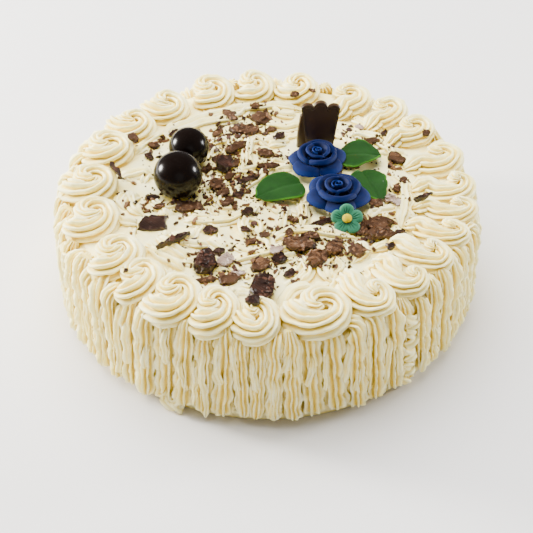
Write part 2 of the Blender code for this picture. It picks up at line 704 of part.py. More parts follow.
def flower_petals():
    """Five rounded petals in one plate, dipping between the petals."""
    frame = flower_frame()
    segments = 30
    points = [frame @ Vector((0.0, 0.0, FLOWER_TOP)), frame @ Vector((0.0, 0.0, FLOWER_UNDER))]
    top_rings = []
    bottom_rings = []
    for spread, top, bottom in FLOWER_RINGS:
        top_ring = []
        bottom_ring = []
        for number in range(segments):
            theta = 2.0 * math.pi * number / segments
            lobe = abs(math.cos(2.5 * theta))
            notch = PETAL_NOTCH * (1.0 - lobe ** 0.6) if spread > 0.5 else 0.0
            reach = FLOWER_RADIUS * spread * (1.0 - notch)
            dip = (lobe - 0.7) * 0.9 * spread
            spot = Vector((reach * math.sin(theta), reach * math.cos(theta), 0.0))
            top_ring.append(len(points))
            points.append(frame @ (spot + Vector((0.0, 0.0, (top + dip) * MM))))
            bottom_ring.append(len(points))
            points.append(frame @ (spot * 0.98 + Vector((0.0, 0.0, (bottom + dip * 0.5) * MM))))
        top_rings.append(top_ring)
        bottom_rings.append(bottom_ring)
    faces = []
    for number in range(segments):
        after = (number + 1) % segments
        faces.append((0, top_rings[0][after], top_rings[0][number]))
        faces.append((1, bottom_rings[0][number], bottom_rings[0][after]))
        for rings, flip in ((top_rings, False), (bottom_rings, True)):
            for inner, outer in zip(rings, rings[1:]):
                quad = (inner[number], inner[after], outer[after], outer[number])
                faces.append(tuple(reversed(quad)) if flip else quad)
        faces.append((
            top_rings[-1][number], top_rings[-1][after], bottom_rings[-1][after], bottom_rings[-1][number],
        ))
    made = mesh_object("flower", points, faces)
    tidy_mesh(made)
    return made


def flower_eye():
    """Low round button set just above the middle of the petals."""
    frame = flower_frame()
    segments = 18
    points = [frame @ Vector((0.0, 0.0, EYE_LOW + EYE_HEIGHT)), frame @ Vector((0.0, 0.0, EYE_LOW))]
    rings = []
    for spread, z in EYE_RINGS:
        ring = []
        reach = EYE_RADIUS * spread
        for number in range(segments):
            theta = 2.0 * math.pi * number / segments
            ring.append(len(points))
            points.append(frame @ Vector((
                reach * math.cos(theta), reach * math.sin(theta), EYE_LOW + z * MM,
            )))
        rings.append(ring)
    faces = []
    for number in range(segments):
        after = (number + 1) % segments
        faces.append((0, rings[0][number], rings[0][after]))
        faces.append((1, rings[-1][after], rings[-1][number]))
        for upper, lower in zip(rings, rings[1:]):
            faces.append((upper[number], lower[number], lower[after], upper[after]))
    made = mesh_object("flower_eye", points, faces)
    tidy_mesh(made)
    return made


def plaque_outline(inset):
    """Outline of the plaque: straight tapering sides and three round lobes on top."""
    half_low = PLAQUE_HALF_LOW - inset
    shoulder = 0.80 * PLAQUE_HEIGHT
    outline = [(-half_low, inset), (half_low, inset)]
    for middle, lift in ((PLAQUE_LOBE_STEP, 0.0), (0.0, PLAQUE_MIDDLE_LIFT), (-PLAQUE_LOBE_STEP, 0.0)):
        for number in range(5):
            theta = math.pi * (0.12 + 0.76 * number / 4.0)
            outline.append((
                middle + (PLAQUE_LOBE - inset) * math.cos(theta),
                shoulder + lift - 1.1 * inset + (PLAQUE_LOBE - inset) * math.sin(theta),
            ))
    return outline


def plaque():
    """Upright plate with a raised rim round a bare sunk face."""
    base = Vector((PLAQUE_CENTRE[0] * MM, PLAQUE_CENTRE[1] * MM, TOP_HEIGHT - PLAQUE_SINK))
    rim = plaque_outline(0.0)
    field = plaque_outline(PLAQUE_RIM)
    half = PLAQUE_THICKNESS * 0.5
    layers = ((rim, half), (rim, -half), (field, -half), (field, -half + PLAQUE_RECESS))
    points = []
    for outline, depth in layers:
        for across, up in outline:
            points.append(base + Vector((across, depth, up)))
    count = len(rim)
    faces = [tuple(range(count)), tuple(reversed(range(3 * count, 4 * count)))]
    for layer in range(3):
        for number in range(count):
            after = (number + 1) % count
            a = layer * count
            faces.append((a + number, a + count + number, a + count + after, a + after))
    made = mesh_object("plaque", points, faces)
    tidy_mesh(made)
    return made


def plaque_backing():
    """Plain tapering plate standing turned behind the left edge of the plaque."""
    turn = Matrix.Rotation(math.radians(BACKING_TURN), 4, "Z")
    base = Vector((BACKING_CENTRE[0] * MM, BACKING_CENTRE[1] * MM, TOP_HEIGHT - BACKING_SINK))
    points = []
    for side in (-0.5, 0.5):
        for across, up in BACKING_OUTLINE:
            points.append(base + turn @ Vector((across, side * BACKING_THICKNESS, up)) * MM)
    count = len(BACKING_OUTLINE)
    faces = [tuple(range(count)), tuple(reversed(range(count, 2 * count)))]
    for number in range(count):
        after = (number + 1) % count
        faces.append((number, count + number, count + after, after))
    made = mesh_object("plaque_backing", points, faces)
    tidy_mesh(made)
    return made


def build():
    clear_scene()
    draw = random.Random(DRAW_SEED)
    cake = cake_core(draw)
    piped = [rosette(*spec, draw) for spec in ROSETTES]
    piped += [stroke(*spec) for spec in STROKES]
    combine(cake, piped, "UNION")
    tidy_mesh(cake)

    tree = BVHTree.FromPolygons(
        [v.co.copy() for v in cake.data.vertices], [tuple(p.vertices) for p in cake.data.polygons],
    )
    laid = [leaf(*spec) for spec in LEAVES]
    laid += [flower_petals(), plaque(), plaque_backing()]
    for name, *spec in SHARDS:
        laid.append(chip(name, tree, spec, draw, SHARD_LIFT * spec[4] * MM))
    roses = [rose(*spec) for spec in ROSES]
    balls = [ball(*spec) for spec in BALLS]
    eye = flower_eye()

    flakes = [chip("flake", tree, spec, draw, FLAKE_LIFT * spec[4] * MM) for spec in FLAKES]
    combine(cake, flakes, "UNION")
    tidy_mesh(cake, keep_largest=True)
    thin_out(cake, CAKE_TRIANGLES)
    tidy_mesh(cake)
    pockets = [ball("pocket", x, y, z, radius + GAP / MM + BALL_ROOM) for name, x, y, z, radius in BALLS]
    pockets += [pocket_for(made) for made in laid]
    for cutter in pockets:
        combine(cake, [cutter], "DIFFERENCE")
    tidy_mesh(cake, keep_largest=True)

    finish(eye, "yellow_sugar_paste")
    for made in [cake] + balls + roses + laid:
        finish(made, SURFACE_OF[made.name.split("_")[0]])


build()
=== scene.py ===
# Looks of the cream torte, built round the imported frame. Lengths in the dictionaries are millimetres.
import json
import math
import random

import bmesh
import bpy
import numpy as np
from mathutils import Matrix, Vector, noise
from mathutils.bvhtree import BVHTree

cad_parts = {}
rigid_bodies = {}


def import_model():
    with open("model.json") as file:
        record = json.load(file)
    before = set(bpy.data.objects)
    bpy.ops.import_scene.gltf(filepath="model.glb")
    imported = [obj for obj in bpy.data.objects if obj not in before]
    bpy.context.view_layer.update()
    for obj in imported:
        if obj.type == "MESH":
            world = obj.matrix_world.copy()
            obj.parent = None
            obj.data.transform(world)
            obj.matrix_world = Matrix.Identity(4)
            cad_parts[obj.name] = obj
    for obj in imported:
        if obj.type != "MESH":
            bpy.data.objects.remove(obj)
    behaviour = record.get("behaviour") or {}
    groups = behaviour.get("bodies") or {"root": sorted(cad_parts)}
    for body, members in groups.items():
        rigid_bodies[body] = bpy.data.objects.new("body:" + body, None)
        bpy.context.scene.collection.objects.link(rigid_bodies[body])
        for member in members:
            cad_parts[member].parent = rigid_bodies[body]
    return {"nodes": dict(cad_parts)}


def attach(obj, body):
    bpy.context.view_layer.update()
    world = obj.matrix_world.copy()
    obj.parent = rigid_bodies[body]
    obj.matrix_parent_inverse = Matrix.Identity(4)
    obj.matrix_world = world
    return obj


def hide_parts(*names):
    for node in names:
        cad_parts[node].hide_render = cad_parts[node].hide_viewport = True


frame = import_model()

noise.seed_set(64)  # torn edges come out the same in every run
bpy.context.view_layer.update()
mm = 0.001
upward = Vector((0, 0, 1))
topHeight = 69.0

camera = {
    "aim": (0, 0, 9.7), "distance": 900, "elevation": 41.43,
    "lens": 94.4, "sensor": 36, "shiftX": -0.0013,
}
lights = {  # place, aim, size, watts, colour
    "left": ((-1150, 340, 380), (0, 0, 60), 300, 56, "FFFBF2"),
    "right": ((1150, 340, 340), (0, 0, 60), 260, 18, "FFFFFF"),
    "top": ((-300, 450, 1500), (0, 0, 60), 2000, 118, "FFFFFF"),
    "front": ((200, -1200, 700), (0, 0, 30), 900, 1, "FFFFFF"),
}
unmirrored = ("top",)  # soft overhead light that leaves no patch on the gloss
world = {"colour": "F4F2F0", "strength": 0.29}
floor = {"half": 4000, "drop": 0.2, "colour": "DCDAD8"}


def linear(hexColour):
    parts = [int(hexColour[i:i + 2], 16) / 255 for i in (0, 2, 4)]
    return tuple(c / 12.92 if c <= 0.04045 else ((c + 0.055) / 1.055) ** 2.4 for c in parts) + (1,)


def addNode(tree, kind, inputs=None, **settings):  # an input is a value, or the output that feeds it
    made = tree.nodes.new(kind)
    for name, value in settings.items():
        setattr(made, name, value)
    for key, value in (inputs or {}).items():
        if isinstance(value, bpy.types.NodeSocket):
            tree.links.new(value, made.inputs[key])
        else:
            made.inputs[key].default_value = value
    return made


def link(name, mesh):
    made = bpy.data.objects.new(name, mesh)
    bpy.context.scene.collection.objects.link(made)
    return made


def dress(piece, slot, *nodes):  # rides the cake and hides the frame parts it stands for
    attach(piece, "root")
    if nodes:
        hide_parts(*nodes)
    return piece


def runTree(carrier, tree, values, name):  # the tree's result as a plain mesh at the origin
    modifier = carrier.modifiers.new("nodes", "NODES")
    modifier.node_group = tree
    for item in tree.interface.items_tree:
        if item.in_out == "INPUT" and item.name in values:
            modifier[item.identifier] = values[item.name]
    graph = bpy.context.evaluated_depsgraph_get()
    mesh = bpy.data.meshes.new_from_object(carrier.evaluated_get(graph))
    carrier.modifiers.remove(modifier)
    bpy.data.objects.remove(carrier, do_unlink=True)
    made = link(name, mesh)
    mesh.name = name
    print(name, len(mesh.polygons), "faces")
    return made


def groupSockets(tree, entries):
    tree.interface.new_socket(name="Geometry", in_out="OUTPUT", socket_type="NodeSocketGeometry")
    for name, kind, value in entries:
        made = tree.interface.new_socket(name=name, in_out="INPUT", socket_type="NodeSocket" + kind)
        if value is not None:
            made.default_value = value


def maths(tree, operation, first, second=None):
    inputs = {0: first} if second is None else {0: first, 1: second}
    return addNode(tree, "ShaderNodeMath", inputs, operation=operation).outputs[0]


def scaled(tree, vector, amount):
    return addNode(tree, "ShaderNodeVectorMath", {0: vector, "Scale": amount}, operation="SCALE").outputs[0]


def field(tree, name, kind="FLOAT"):
    return addNode(tree, "GeometryNodeInputNamedAttribute", {"Name": name}, data_type=kind).outputs[0]


def closeTree(tree, shape, material):
    whole = addNode(tree, "GeometryNodeRealizeInstances", {"Geometry": shape})
    coated = addNode(tree, "GeometryNodeSetMaterial", {"Geometry": whole.outputs[0], "Material": material})
    addNode(tree, "NodeGroupOutput", {0: coated.outputs[0]})


def mark(mesh, name, values):  # a number at each point, for the trees and materials to read
    mesh.attributes.new(name, "FLOAT", "POINT").data.foreach_set("value", values)


def ringFaces(first, count, rings):  # the wall between closed rings of points
    faces = []
    for ring in range(rings - 1):
        for i in range(count):
            a, b = first + ring * count + i, first + ring * count + (i + 1) % count
            faces.append((a, b, b + count, a + count))
    return faces


def meshFrom(name, points, faces, attributes=(), smooth=True):  # points in mm, faces turned outwards
    mesh = bpy.data.meshes.new(name)
    mesh.from_pydata([[c * mm for c in p] for p in points], [], faces)
    for title, values in attributes:
        mark(mesh, title, values)
    work = bmesh.new()
    work.from_mesh(mesh)
    bmesh.ops.recalc_face_normals(work, faces=work.faces)
    work.to_mesh(mesh)
    work.free()
    mesh.polygons.foreach_set("use_smooth", [smooth] * len(mesh.polygons))
    return mesh


# Camera, lights and floor

def makeStudio():
    data = bpy.data.cameras.new("camera")
    data.lens = camera["lens"]
    data.sensor_width = camera["sensor"]
    data.sensor_fit = "HORIZONTAL"
    data.shift_x = camera["shiftX"]
    data.clip_start = 0.01
    made = link("camera", data)
    lift = math.radians(camera["elevation"])
    back = Vector((0, -math.cos(lift), math.sin(lift)))
    made.location = (Vector(camera["aim"]) + back * camera["distance"]) * mm
    made.rotation_euler = (-back).to_track_quat("-Z", "Y").to_euler()
    bpy.context.scene.camera = made
    for name, (place, aim, size, watts, colour) in lights.items():
        data = bpy.data.lights.new(name, "AREA")
        data.shape = "DISK"
        data.size = size * mm
        data.energy = watts
        data.color = linear(colour)[:3]
        made = link(name, data)
        made.location = Vector(place) * mm
        made.rotation_euler = (Vector(aim) - Vector(place)).to_track_quat("-Z", "Y").to_euler()
        made.visible_glossy = name not in unmirrored
    backdrop = bpy.data.worlds.new("studio")
    backdrop.use_nodes = True
    backdrop.node_tree.nodes["Background"].inputs["Color"].default_value = linear(world["colour"])
    backdrop.node_tree.nodes["Background"].inputs["Strength"].default_value = world["strength"]
    bpy.context.scene.world = backdrop
    half, low = floor["half"], -floor["drop"]
    corners = [(-half, -half, low), (half, -half, low), (half, half, low), (-half, half, low)]
    mesh = meshFrom("floor", corners, [(0, 1, 2, 3)])
    material = bpy.data.materials.new("matt_studio_board")
    material.use_nodes = True
    shader = material.node_tree.nodes["Principled BSDF"]
    shader.inputs["Base Color"].default_value = linear(floor["colour"])
    shader.inputs["Roughness"].default_value = 0.9
    mesh.materials.append(material)
    link("floor", mesh)


# Materials

def newMaterial(name):  # its emptied tree, and the place on the piece that the patterns read
    made = bpy.data.materials.new(name)
    made.use_nodes = True
    made.node_tree.nodes.clear()
    return made, made.node_tree, addNode(made.node_tree, "ShaderNodeTexCoord").outputs["Object"]


def ramp(tree, value, start, end, most=1):  # nothing at the start, most at the end
    return addNode(tree, "ShaderNodeMapRange", {
        "Value": value, "From Min": start, "From Max": end, "To Min": 0, "To Max": most}).outputs[0]


def blend(tree, share, first, second):  # a colour is hex text, or the output that feeds it
    first, second = (linear(c) if isinstance(c, str) else c for c in (first, second))
    return addNode(tree, "ShaderNodeMix", {0: share, 6: first, 7: second}, data_type="RGBA").outputs[2]


def cloudy(tree, place, size, detail):  # soft noise, its lumps that many mm wide
    return addNode(tree, "ShaderNodeTexNoise", {
        "Vector": place, "Scale": 1000 / size, "Detail": detail}).outputs["Fac"]


def attribute(tree, name):
    return addNode(tree, "ShaderNodeAttribute", attribute_name=name).outputs["Fac"]


def bumped(tree, height, strength, depth):
    return addNode(tree, "ShaderNodeBump", {
        "Strength": strength, "Distance": depth * mm, "Height": height}).outputs[0]


def surface(tree, inputs):
    shader = addNode(tree, "ShaderNodeBsdfPrincipled", inputs)
    addNode(tree, "ShaderNodeOutputMaterial", {"Surface": shader.outputs[0]})


# the groove colour and the deepest yellow are painted shade, laid in the folds and in the gaps that ambient
# occlusion finds
creamLook = {
    "ridge": "FFF5BC", "body": "FEE894", "groove": "FBE474", "occlusionShade": "F2D548",
    "mottle": 9, "froth": 0.8, "bump": 0.5, "bumpDepth": 0.4, "shadeReach": 4.5, "roughness": 0.45,
    "scatter": 2.0, "scatterWeight": 0.3, "scatterColour": (1.0, 1.0, 0.55),
}


def whippedCream():
    # dairy cream whipped stiff and pressed through a star nozzle: soft satin, nearly white on the crests,
    # with tiny torn bubbles on the surface; the butter yellow in the folds and gaps is painted shade
    look = creamLook
    made, tree, place = newMaterial("whipped_cream_piped")
    lit = addNode(tree, "ShaderNodeAmbientOcclusion", {"Distance": look["shadeReach"] * mm}, samples=8)
    patch = ramp(tree, cloudy(tree, place, look["mottle"], 3), 0.42, 0.62, 0.7)
    base = blend(tree, patch, look["ridge"], look["body"])
    # painted shade: the groove colour is laid where the star folds of the ropes lie
    grooveShaded = blend(tree, ramp(tree, attribute(tree, "groove"), 0.35, 1.0, 0.85), base, look["groove"])
    # painted shade: a deeper yellow where ambient occlusion finds the cream hemmed in by more cream
    occlusionShaded = blend(tree, ramp(tree, lit.outputs["AO"], 0.75, 0.15), grooveShaded, look["occlusionShade"])
    froth = cloudy(tree, place, look["froth"], 4)
    surface(tree, {
        "Base Color": occlusionShaded, "Roughness": look["roughness"],
        "Normal": bumped(tree, froth, look["bump"], look["bumpDepth"]),
        "Subsurface Weight": look["scatterWeight"], "Subsurface Radius": look["scatterColour"],
        "Subsurface Scale": look["scatter"] * mm, "Specular IOR Level": 0.35})
    return made


def chocolate(name, look):
    # tempered chocolate; its look says how dark it is and how much it has been scraped
    made, tree, place = newMaterial(name)
    base = blend(tree, cloudy(tree, place, look["cloud"], 4), look["dark"], look["light"])
    toned = blend(tree, attribute(tree, "tone"), base, look["pale"])
    dusty = ramp(tree, cloudy(tree, place, look["dustSize"], 5), 0.6, 0.7, look["dust"])
    grain = cloudy(tree, place, look["grain"], 5)
    lines = addNode(tree, "ShaderNodeTexWave", {
        "Vector": place, "Scale": 314 / look["scrapeStep"], "Distortion": 5, "Detail": 2,
        "Detail Scale": 1.5}, bands_direction="DIAGONAL")
    drawn = maths(tree, "MULTIPLY", lines.outputs["Fac"], look["scrape"])
    surface(tree, {
        "Base Color": blend(tree, dusty, toned, look["dustColour"]), "Roughness": look["roughness"],
        "Normal": bumped(tree, maths(tree, "ADD", grain, drawn), look["bump"], look["bumpDepth"]),
        "IOR": 1.49, "Specular IOR Level": look["shine"]})
    return made


darkScrape = {  # snapped dark couverture: satin break, near black with a brown cast
    "dark": "120906", "light": "25140D", "pale": "4A2E22", "cloud": 6, "dust": 0.25, "dustSize": 3,
    "dustColour": "6E5248", "grain": 0.8, "bump": 0.6, "bumpDepth": 0.35, "roughness": 0.38, "shine": 0.45,
    "scrape": 0.4, "scrapeStep": 1.1,
}
milkScrape = {  # chocolate scraped off a block: warm brown, chalky where the blade drew fat to the surface
    "dark": "211308", "light": "412917", "pale": "755238", "cloud": 4, "dust": 0.4, "dustSize": 2.2,
    "dustColour": "8E7058", "grain": 0.8, "bump": 0.6, "bumpDepth": 0.3, "roughness": 0.5, "shine": 0.3,
    "scrape": 0.6, "scrapeStep": 0.9,
}
bloomScrape = {  # the fatty face of a scraped flake: pale greyish, waxy
    "dark": "6B5244", "light": "A08A7A", "pale": "CDBFB2", "cloud": 3, "dust": 0.7, "dustSize": 2,
    "dustColour": "5A3A2C", "grain": 0.9, "bump": 0.5, "bumpDepth": 0.3, "roughness": 0.4, "shine": 0.4,
    "scrape": 0.5, "scrapeStep": 1.0,
}
shellGloss = {  # panned dark chocolate ball with a polished shell
    "dark": "060302", "light": "0D0705", "pale": "0D0705", "cloud": 12, "dust": 0.1, "dustSize": 9,
    "dustColour": "160D09", "grain": 7, "bump": 0.08, "bumpDepth": 0.3, "roughness": 0.2, "shine": 0.16,
    "scrape": 0, "scrapeStep": 5,
}
mouldGloss = {  # dark chocolate cast in a mould: even, satin, with a sharp rim
    "dark": "2C1D11", "light": "3C2A19", "pale": "3C2A19", "cloud": 14, "dust": 0.1, "dustSize": 8,
    "dustColour": "322213", "grain": 5, "bump": 0.1, "bumpDepth": 0.3, "roughness": 0.36, "shine": 0.45,
    "scrape": 0, "scrapeStep": 5,
}


sugarGrain = "C8D0D2"  # whole grains that show in the paste


def sugarPaste(name, look):
    # rolled sugar or almond paste: dense and matt, a little waxy, with sugar grains pressed into it
    made, tree, place = newMaterial(name)
    base = blend(tree, cloudy(tree, place, look["cloud"], 3), look["dark"], look["light"])
    # painted highlight: a lighter colour along the rims of petals and leaves
    rimHighlighted = blend(tree, attribute(tree, "rim"), base, look["rim"])
    # painted shade: a darker colour in the pressed creases
    creaseShaded = blend(tree, attribute(tree, "crease"), rimHighlighted, look["crease"])
    grains = addNode(tree, "ShaderNodeTexVoronoi", {"Vector": place, "Scale": 1000 / look["grainStep"]})
    speck = ramp(tree, grains.outputs["Distance"], look["grainSize"], look["grainSize"] * 0.6,
                 look["grainShow"])
    lot = addNode(tree, "ShaderNodeSeparateColor", {0: grains.outputs["Color"]}).outputs[0]
    shown = maths(tree, "MULTIPLY", speck, ramp(tree, lot, 0.84, 0.86))  # about one grain in six
    surface(tree, {
        "Base Color": blend(tree, shown, creaseShaded, sugarGrain), "Roughness": look["roughness"],
        "Normal": bumped(tree, cloudy(tree, place, look["pores"], 4), look["bump"], 0.2),
        "Subsurface Weight": 0.1, "Subsurface Radius": look["bleed"], "Subsurface Scale": 1.2 * mm,
        "Sheen Weight": 0.02, "Specular IOR Level": 0.14})
    return made


# each rim colour is a painted highlight on thin edges, and each crease colour is painted shade in pressed
# creases
bluePaste = {
    "dark": "030A26", "light": "07153E", "rim": "0C2560", "crease": "050D22", "cloud": 7, "pores": 0.8,
    "grainStep": 3.2, "grainSize": 0.09, "grainShow": 0.15, "bump": 0.25, "roughness": 0.7,
    "bleed": (0.2, 0.35, 1.0),
}
greenPaste = {
    "dark": "10290D", "light": "1B3E15", "rim": "3A6E14", "crease": "0E2A0C", "cloud": 9, "pores": 0.9,
    "grainStep": 3.0, "grainSize": 0.1, "grainShow": 0.5, "bump": 0.25, "roughness": 0.48,
    "bleed": (0.35, 1.0, 0.2),
}
mintPaste = {
    "dark": "1E503A", "light": "2C684B", "rim": "437F62", "crease": "0C2018", "cloud": 5, "pores": 0.5,
    "grainStep": 2.5, "grainSize": 0.08, "grainShow": 0.2, "bump": 0.3, "roughness": 0.6,
    "bleed": (0.4, 1.0, 0.7),
}
yellowPaste = {
    "dark": "9C8800", "light": "B8A400", "rim": "C4B008", "crease": "857010", "cloud": 3, "pores": 0.4,
    "grainStep": 1.2, "grainSize": 0.1, "grainShow": 0.2, "bump": 0.5, "roughness": 0.6,
    "bleed": (1.0, 0.8, 0.3),
}


# Piped cream: ropes from a star nozzle, swept along paths by one node tree

def ropeTree():
    tree = bpy.data.node_groups.new("pipedRope", "GeometryNodeTree")
    groupSockets(tree, (
        ("Path", "Geometry", None), ("Ridges", "Int", 10), ("Ridge Depth", "Float", 0.2),
        ("Crest", "Float", 1.0), ("Points Round", "Int", 40), ("Waver", "Float", 0.0004),
        ("Waver Length", "Float", 0.012), ("Ragged", "Float", 0.0002), ("Ragged Length", "Float", 0.003),
        ("Seed", "Float", 0.0), ("Cream", "Material", None),
    ))
    given = addNode(tree, "NodeGroupInput").outputs
    line = addNode(tree, "GeometryNodeMeshToCurve", {"Mesh": given["Path"]})
    turned = addNode(tree, "GeometryNodeSetCurveNormal", {
        "Curve": line.outputs[0], "Normal": field(tree, "ropeSide", "FLOAT_VECTOR")}, mode="FREE")
    # star: rounded crests with sharp folds between them
    ring = addNode(tree, "GeometryNodeCurvePrimitiveCircle", {
        "Resolution": given["Points Round"], "Radius": 1.0}, mode="RADIUS")
    spot = addNode(tree, "GeometryNodeInputPosition").outputs[0]
    split = addNode(tree, "ShaderNodeSeparateXYZ", {0: spot}).outputs
    turns = maths(tree, "MULTIPLY", maths(tree, "ARCTAN2", split[1], split[0]), given["Ridges"])
    swing = maths(tree, "COSINE", maths(tree, "MULTIPLY", turns, 0.5))
    crest = maths(tree, "POWER", maths(tree, "ABSOLUTE", swing), given["Crest"])
    groove = maths(tree, "SUBTRACT", 1.0, crest)
    keep = maths(tree, "SUBTRACT", 1.0, maths(tree, "MULTIPLY", groove, given["Ridge Depth"]))
    # the groove mark also tells the cream material where to paint shade in the folds
    marked = addNode(tree, "GeometryNodeStoreNamedAttribute", {
        "Geometry": ring.outputs[0], "Name": "groove", "Value": groove}, data_type="FLOAT")
    star = addNode(tree, "GeometryNodeSetPosition", {
        "Geometry": marked.outputs[0], "Position": scaled(tree, spot, keep)})
    shaped = addNode(tree, "GeometryNodeCurveToMesh", {
        "Curve": turned.outputs[0], "Profile Curve": star.outputs[0],
        "Scale": field(tree, "ropeRadius"), "Fill Caps": True}).outputs[0]
    # slow waver of the hand, then the torn look of the crests
    for amount, crestOnly in (("Waver", False), ("Ragged", True)):
        wild = addNode(tree, "ShaderNodeTexNoise", {
            "Vector": addNode(tree, "GeometryNodeInputPosition").outputs[0], "W": given["Seed"],
            "Scale": maths(tree, "DIVIDE", 1.0, given[amount + " Length"]), "Detail": 2.0},
            noise_dimensions="4D")
        centred = addNode(tree, "ShaderNodeVectorMath", {
            0: wild.outputs["Color"], 1: (0.5, 0.5, 0.5)}, operation="SUBTRACT")
        grown = scaled(tree, centred.outputs[0], given[amount])
        if crestOnly:
            grown = scaled(tree, grown, maths(tree, "SUBTRACT", 1.15, field(tree, "groove")))
        shaped = addNode(tree, "GeometryNodeSetPosition", {
            "Geometry": shaped, "Offset": grown}).outputs[0]
    smooth = addNode(tree, "GeometryNodeSetShadeSmooth", {"Geometry": shaped})
    closeTree(tree, smooth.outputs[0], given["Cream"])
    return tree


def smoothLine(corners, step):  # points a step apart on a smooth line through the corners
    dense = []
    for i in range(len(corners) - 1):
        before, start = Vector(corners[max(i - 1, 0)]), Vector(corners[i])
        end, after = Vector(corners[i + 1]), Vector(corners[min(i + 2, len(corners) - 1)])
        for part in range(14):
            t = part / 14
            dense.append(0.5 * (
                2 * start + (end - before) * t + (2 * before - 5 * start + 4 * end - after) * t * t
                + (3 * start - before - 3 * end + after) * t ** 3))
    dense.append(Vector(corners[-1]))
    return evenLine(dense, step)


def evenLine(dense, step):
    total = sum((b - a).length for a, b in zip(dense, dense[1:]))
    count = max(3, round(total / step))
    spaced, walked = [dense[0]], 0.0
    for a, b in zip(dense, dense[1:]):
        piece = (b - a).length
        while piece and len(spaced) < count and walked + piece >= total * len(spaced) / count:
            spaced.append(a.lerp(b, (total * len(spaced) / count - walked) / piece))
        walked += piece
    if len(spaced) < count + 1:
        spaced.append(dense[-1])
    return spaced


def pipeRopes(name, ropes, look, tree, cream):  # ropes: points, radii and sides, in mm
    points, edges, radii, sides = [], [], [], []
    for spots, sizes, faces in ropes:
        first = len(points)
        points += [tuple(p * mm) for p in spots]
        radii += [size * mm for size in sizes]
        sides += [tuple(s) for s in faces]
        edges += [(first + i, first + i + 1) for i in range(len(spots) - 1)]
    mesh = bpy.data.meshes.new(name + "_path")
    mesh.from_pydata(points, edges, [])
    mark(mesh, "ropeRadius", radii)
    mesh.attributes.new("ropeSide", "FLOAT_VECTOR", "POINT").data.foreach_set(
        "vector", [c for side in sides for c in side])
    return runTree(link(name + "_path", mesh), tree, {
        "Ridges": look["ridges"], "Ridge Depth": look["ridgeDepth"], "Crest": look["crest"],
        "Points Round": look["pointsRound"], "Waver": look["waver"] * mm,
        "Waver Length": look["waverLength"] * mm, "Ragged": look["ragged"] * mm,
        "Ragged Length": look["raggedLength"] * mm, "Seed": look["seed"], "Cream": cream,
    }, name)


rosettes = {
    "layout": (  # angle, ring radius, half length outwards, half length around, height, eye outwards
        (-119, 108.5, 21.5, 19.5, 12.5, -3.5), (-133, 110.0, 20.5, 17.0, 11.0, -7),
        (-146, 108.0, 21.5, 19.0, 12.5, -6), (-166, 109.5, 21.0, 20.5, 12.0, -6),
        (176, 110.0, 21.0, 20.5, 12.5, -4), (157, 110.5, 20.5, 20.0, 12.0, 0),
        (142, 111.5, 19.5, 18.0, 12.5, -2), (127, 111.0, 20.0, 18.0, 12.0, -2),
        (110, 111.5, 19.5, 18.0, 12.0, 3), (95, 111.5, 19.5, 17.0, 12.5, 0),
        (80, 111.0, 19.5, 17.5, 11.5, -2), (-75, 108.0, 22.5, 23.0, 12.0, 2),
        (-93, 112.0, 19.5, 16.0, 10.0, -3), (-106, 109.5, 20.5, 17.5, 12.0, -2),
    ),
    "turns": 1.42, "fullTurns": 0.42, "startAngle": 185, "startSpread": 40, "rope": 9.0, "ropeShare": 0.5,
    "tipShare": 0.5, "tail": 0, "outwards": 1.3, "sink": 0.22, "twist": -170, "step": 1.5,
    "ridges": 10, "ridgeDepth": 0.58, "crest": 1.0, "pointsRound": 60, "waver": 3.8, "waverLength": 12,
    "ragged": 1.6, "raggedLength": 1.8, "seed": 3.0,
}
shells = dict(rosettes)  # the right-hand ones are drawn outwards from the middle and curl at the rim
shells.update({
    "layout": (
        (62, 110.5, 20.0, 18.5, 12.0, -1), (47, 111.5, 19.5, 16.5, 12.5, 2),
        (34, 111.0, 20.0, 17.0, 11.5, 1), (17, 110.5, 20.5, 18.5, 12.0, 4),
        (2, 110.5, 20.5, 16.5, 12.5, 6), (-9, 111.0, 20.0, 14.5, 11.5, 7),
        (-20, 110.5, 20.5, 15.0, 12.0, 7), (-32, 108.5, 22.0, 16.5, 12.0, 5),
        (-45, 110.5, 20.5, 17.5, 11.5, 8), (-58, 108.5, 22.0, 18.5, 12.0, 6),
    ),
    "turns": 1.02, "fullTurns": 0.3, "startAngle": None, "tail": 11, "twist": -110, "ridges": 11,
    "ropeShare": 0.54, "seed": 4.0,
})


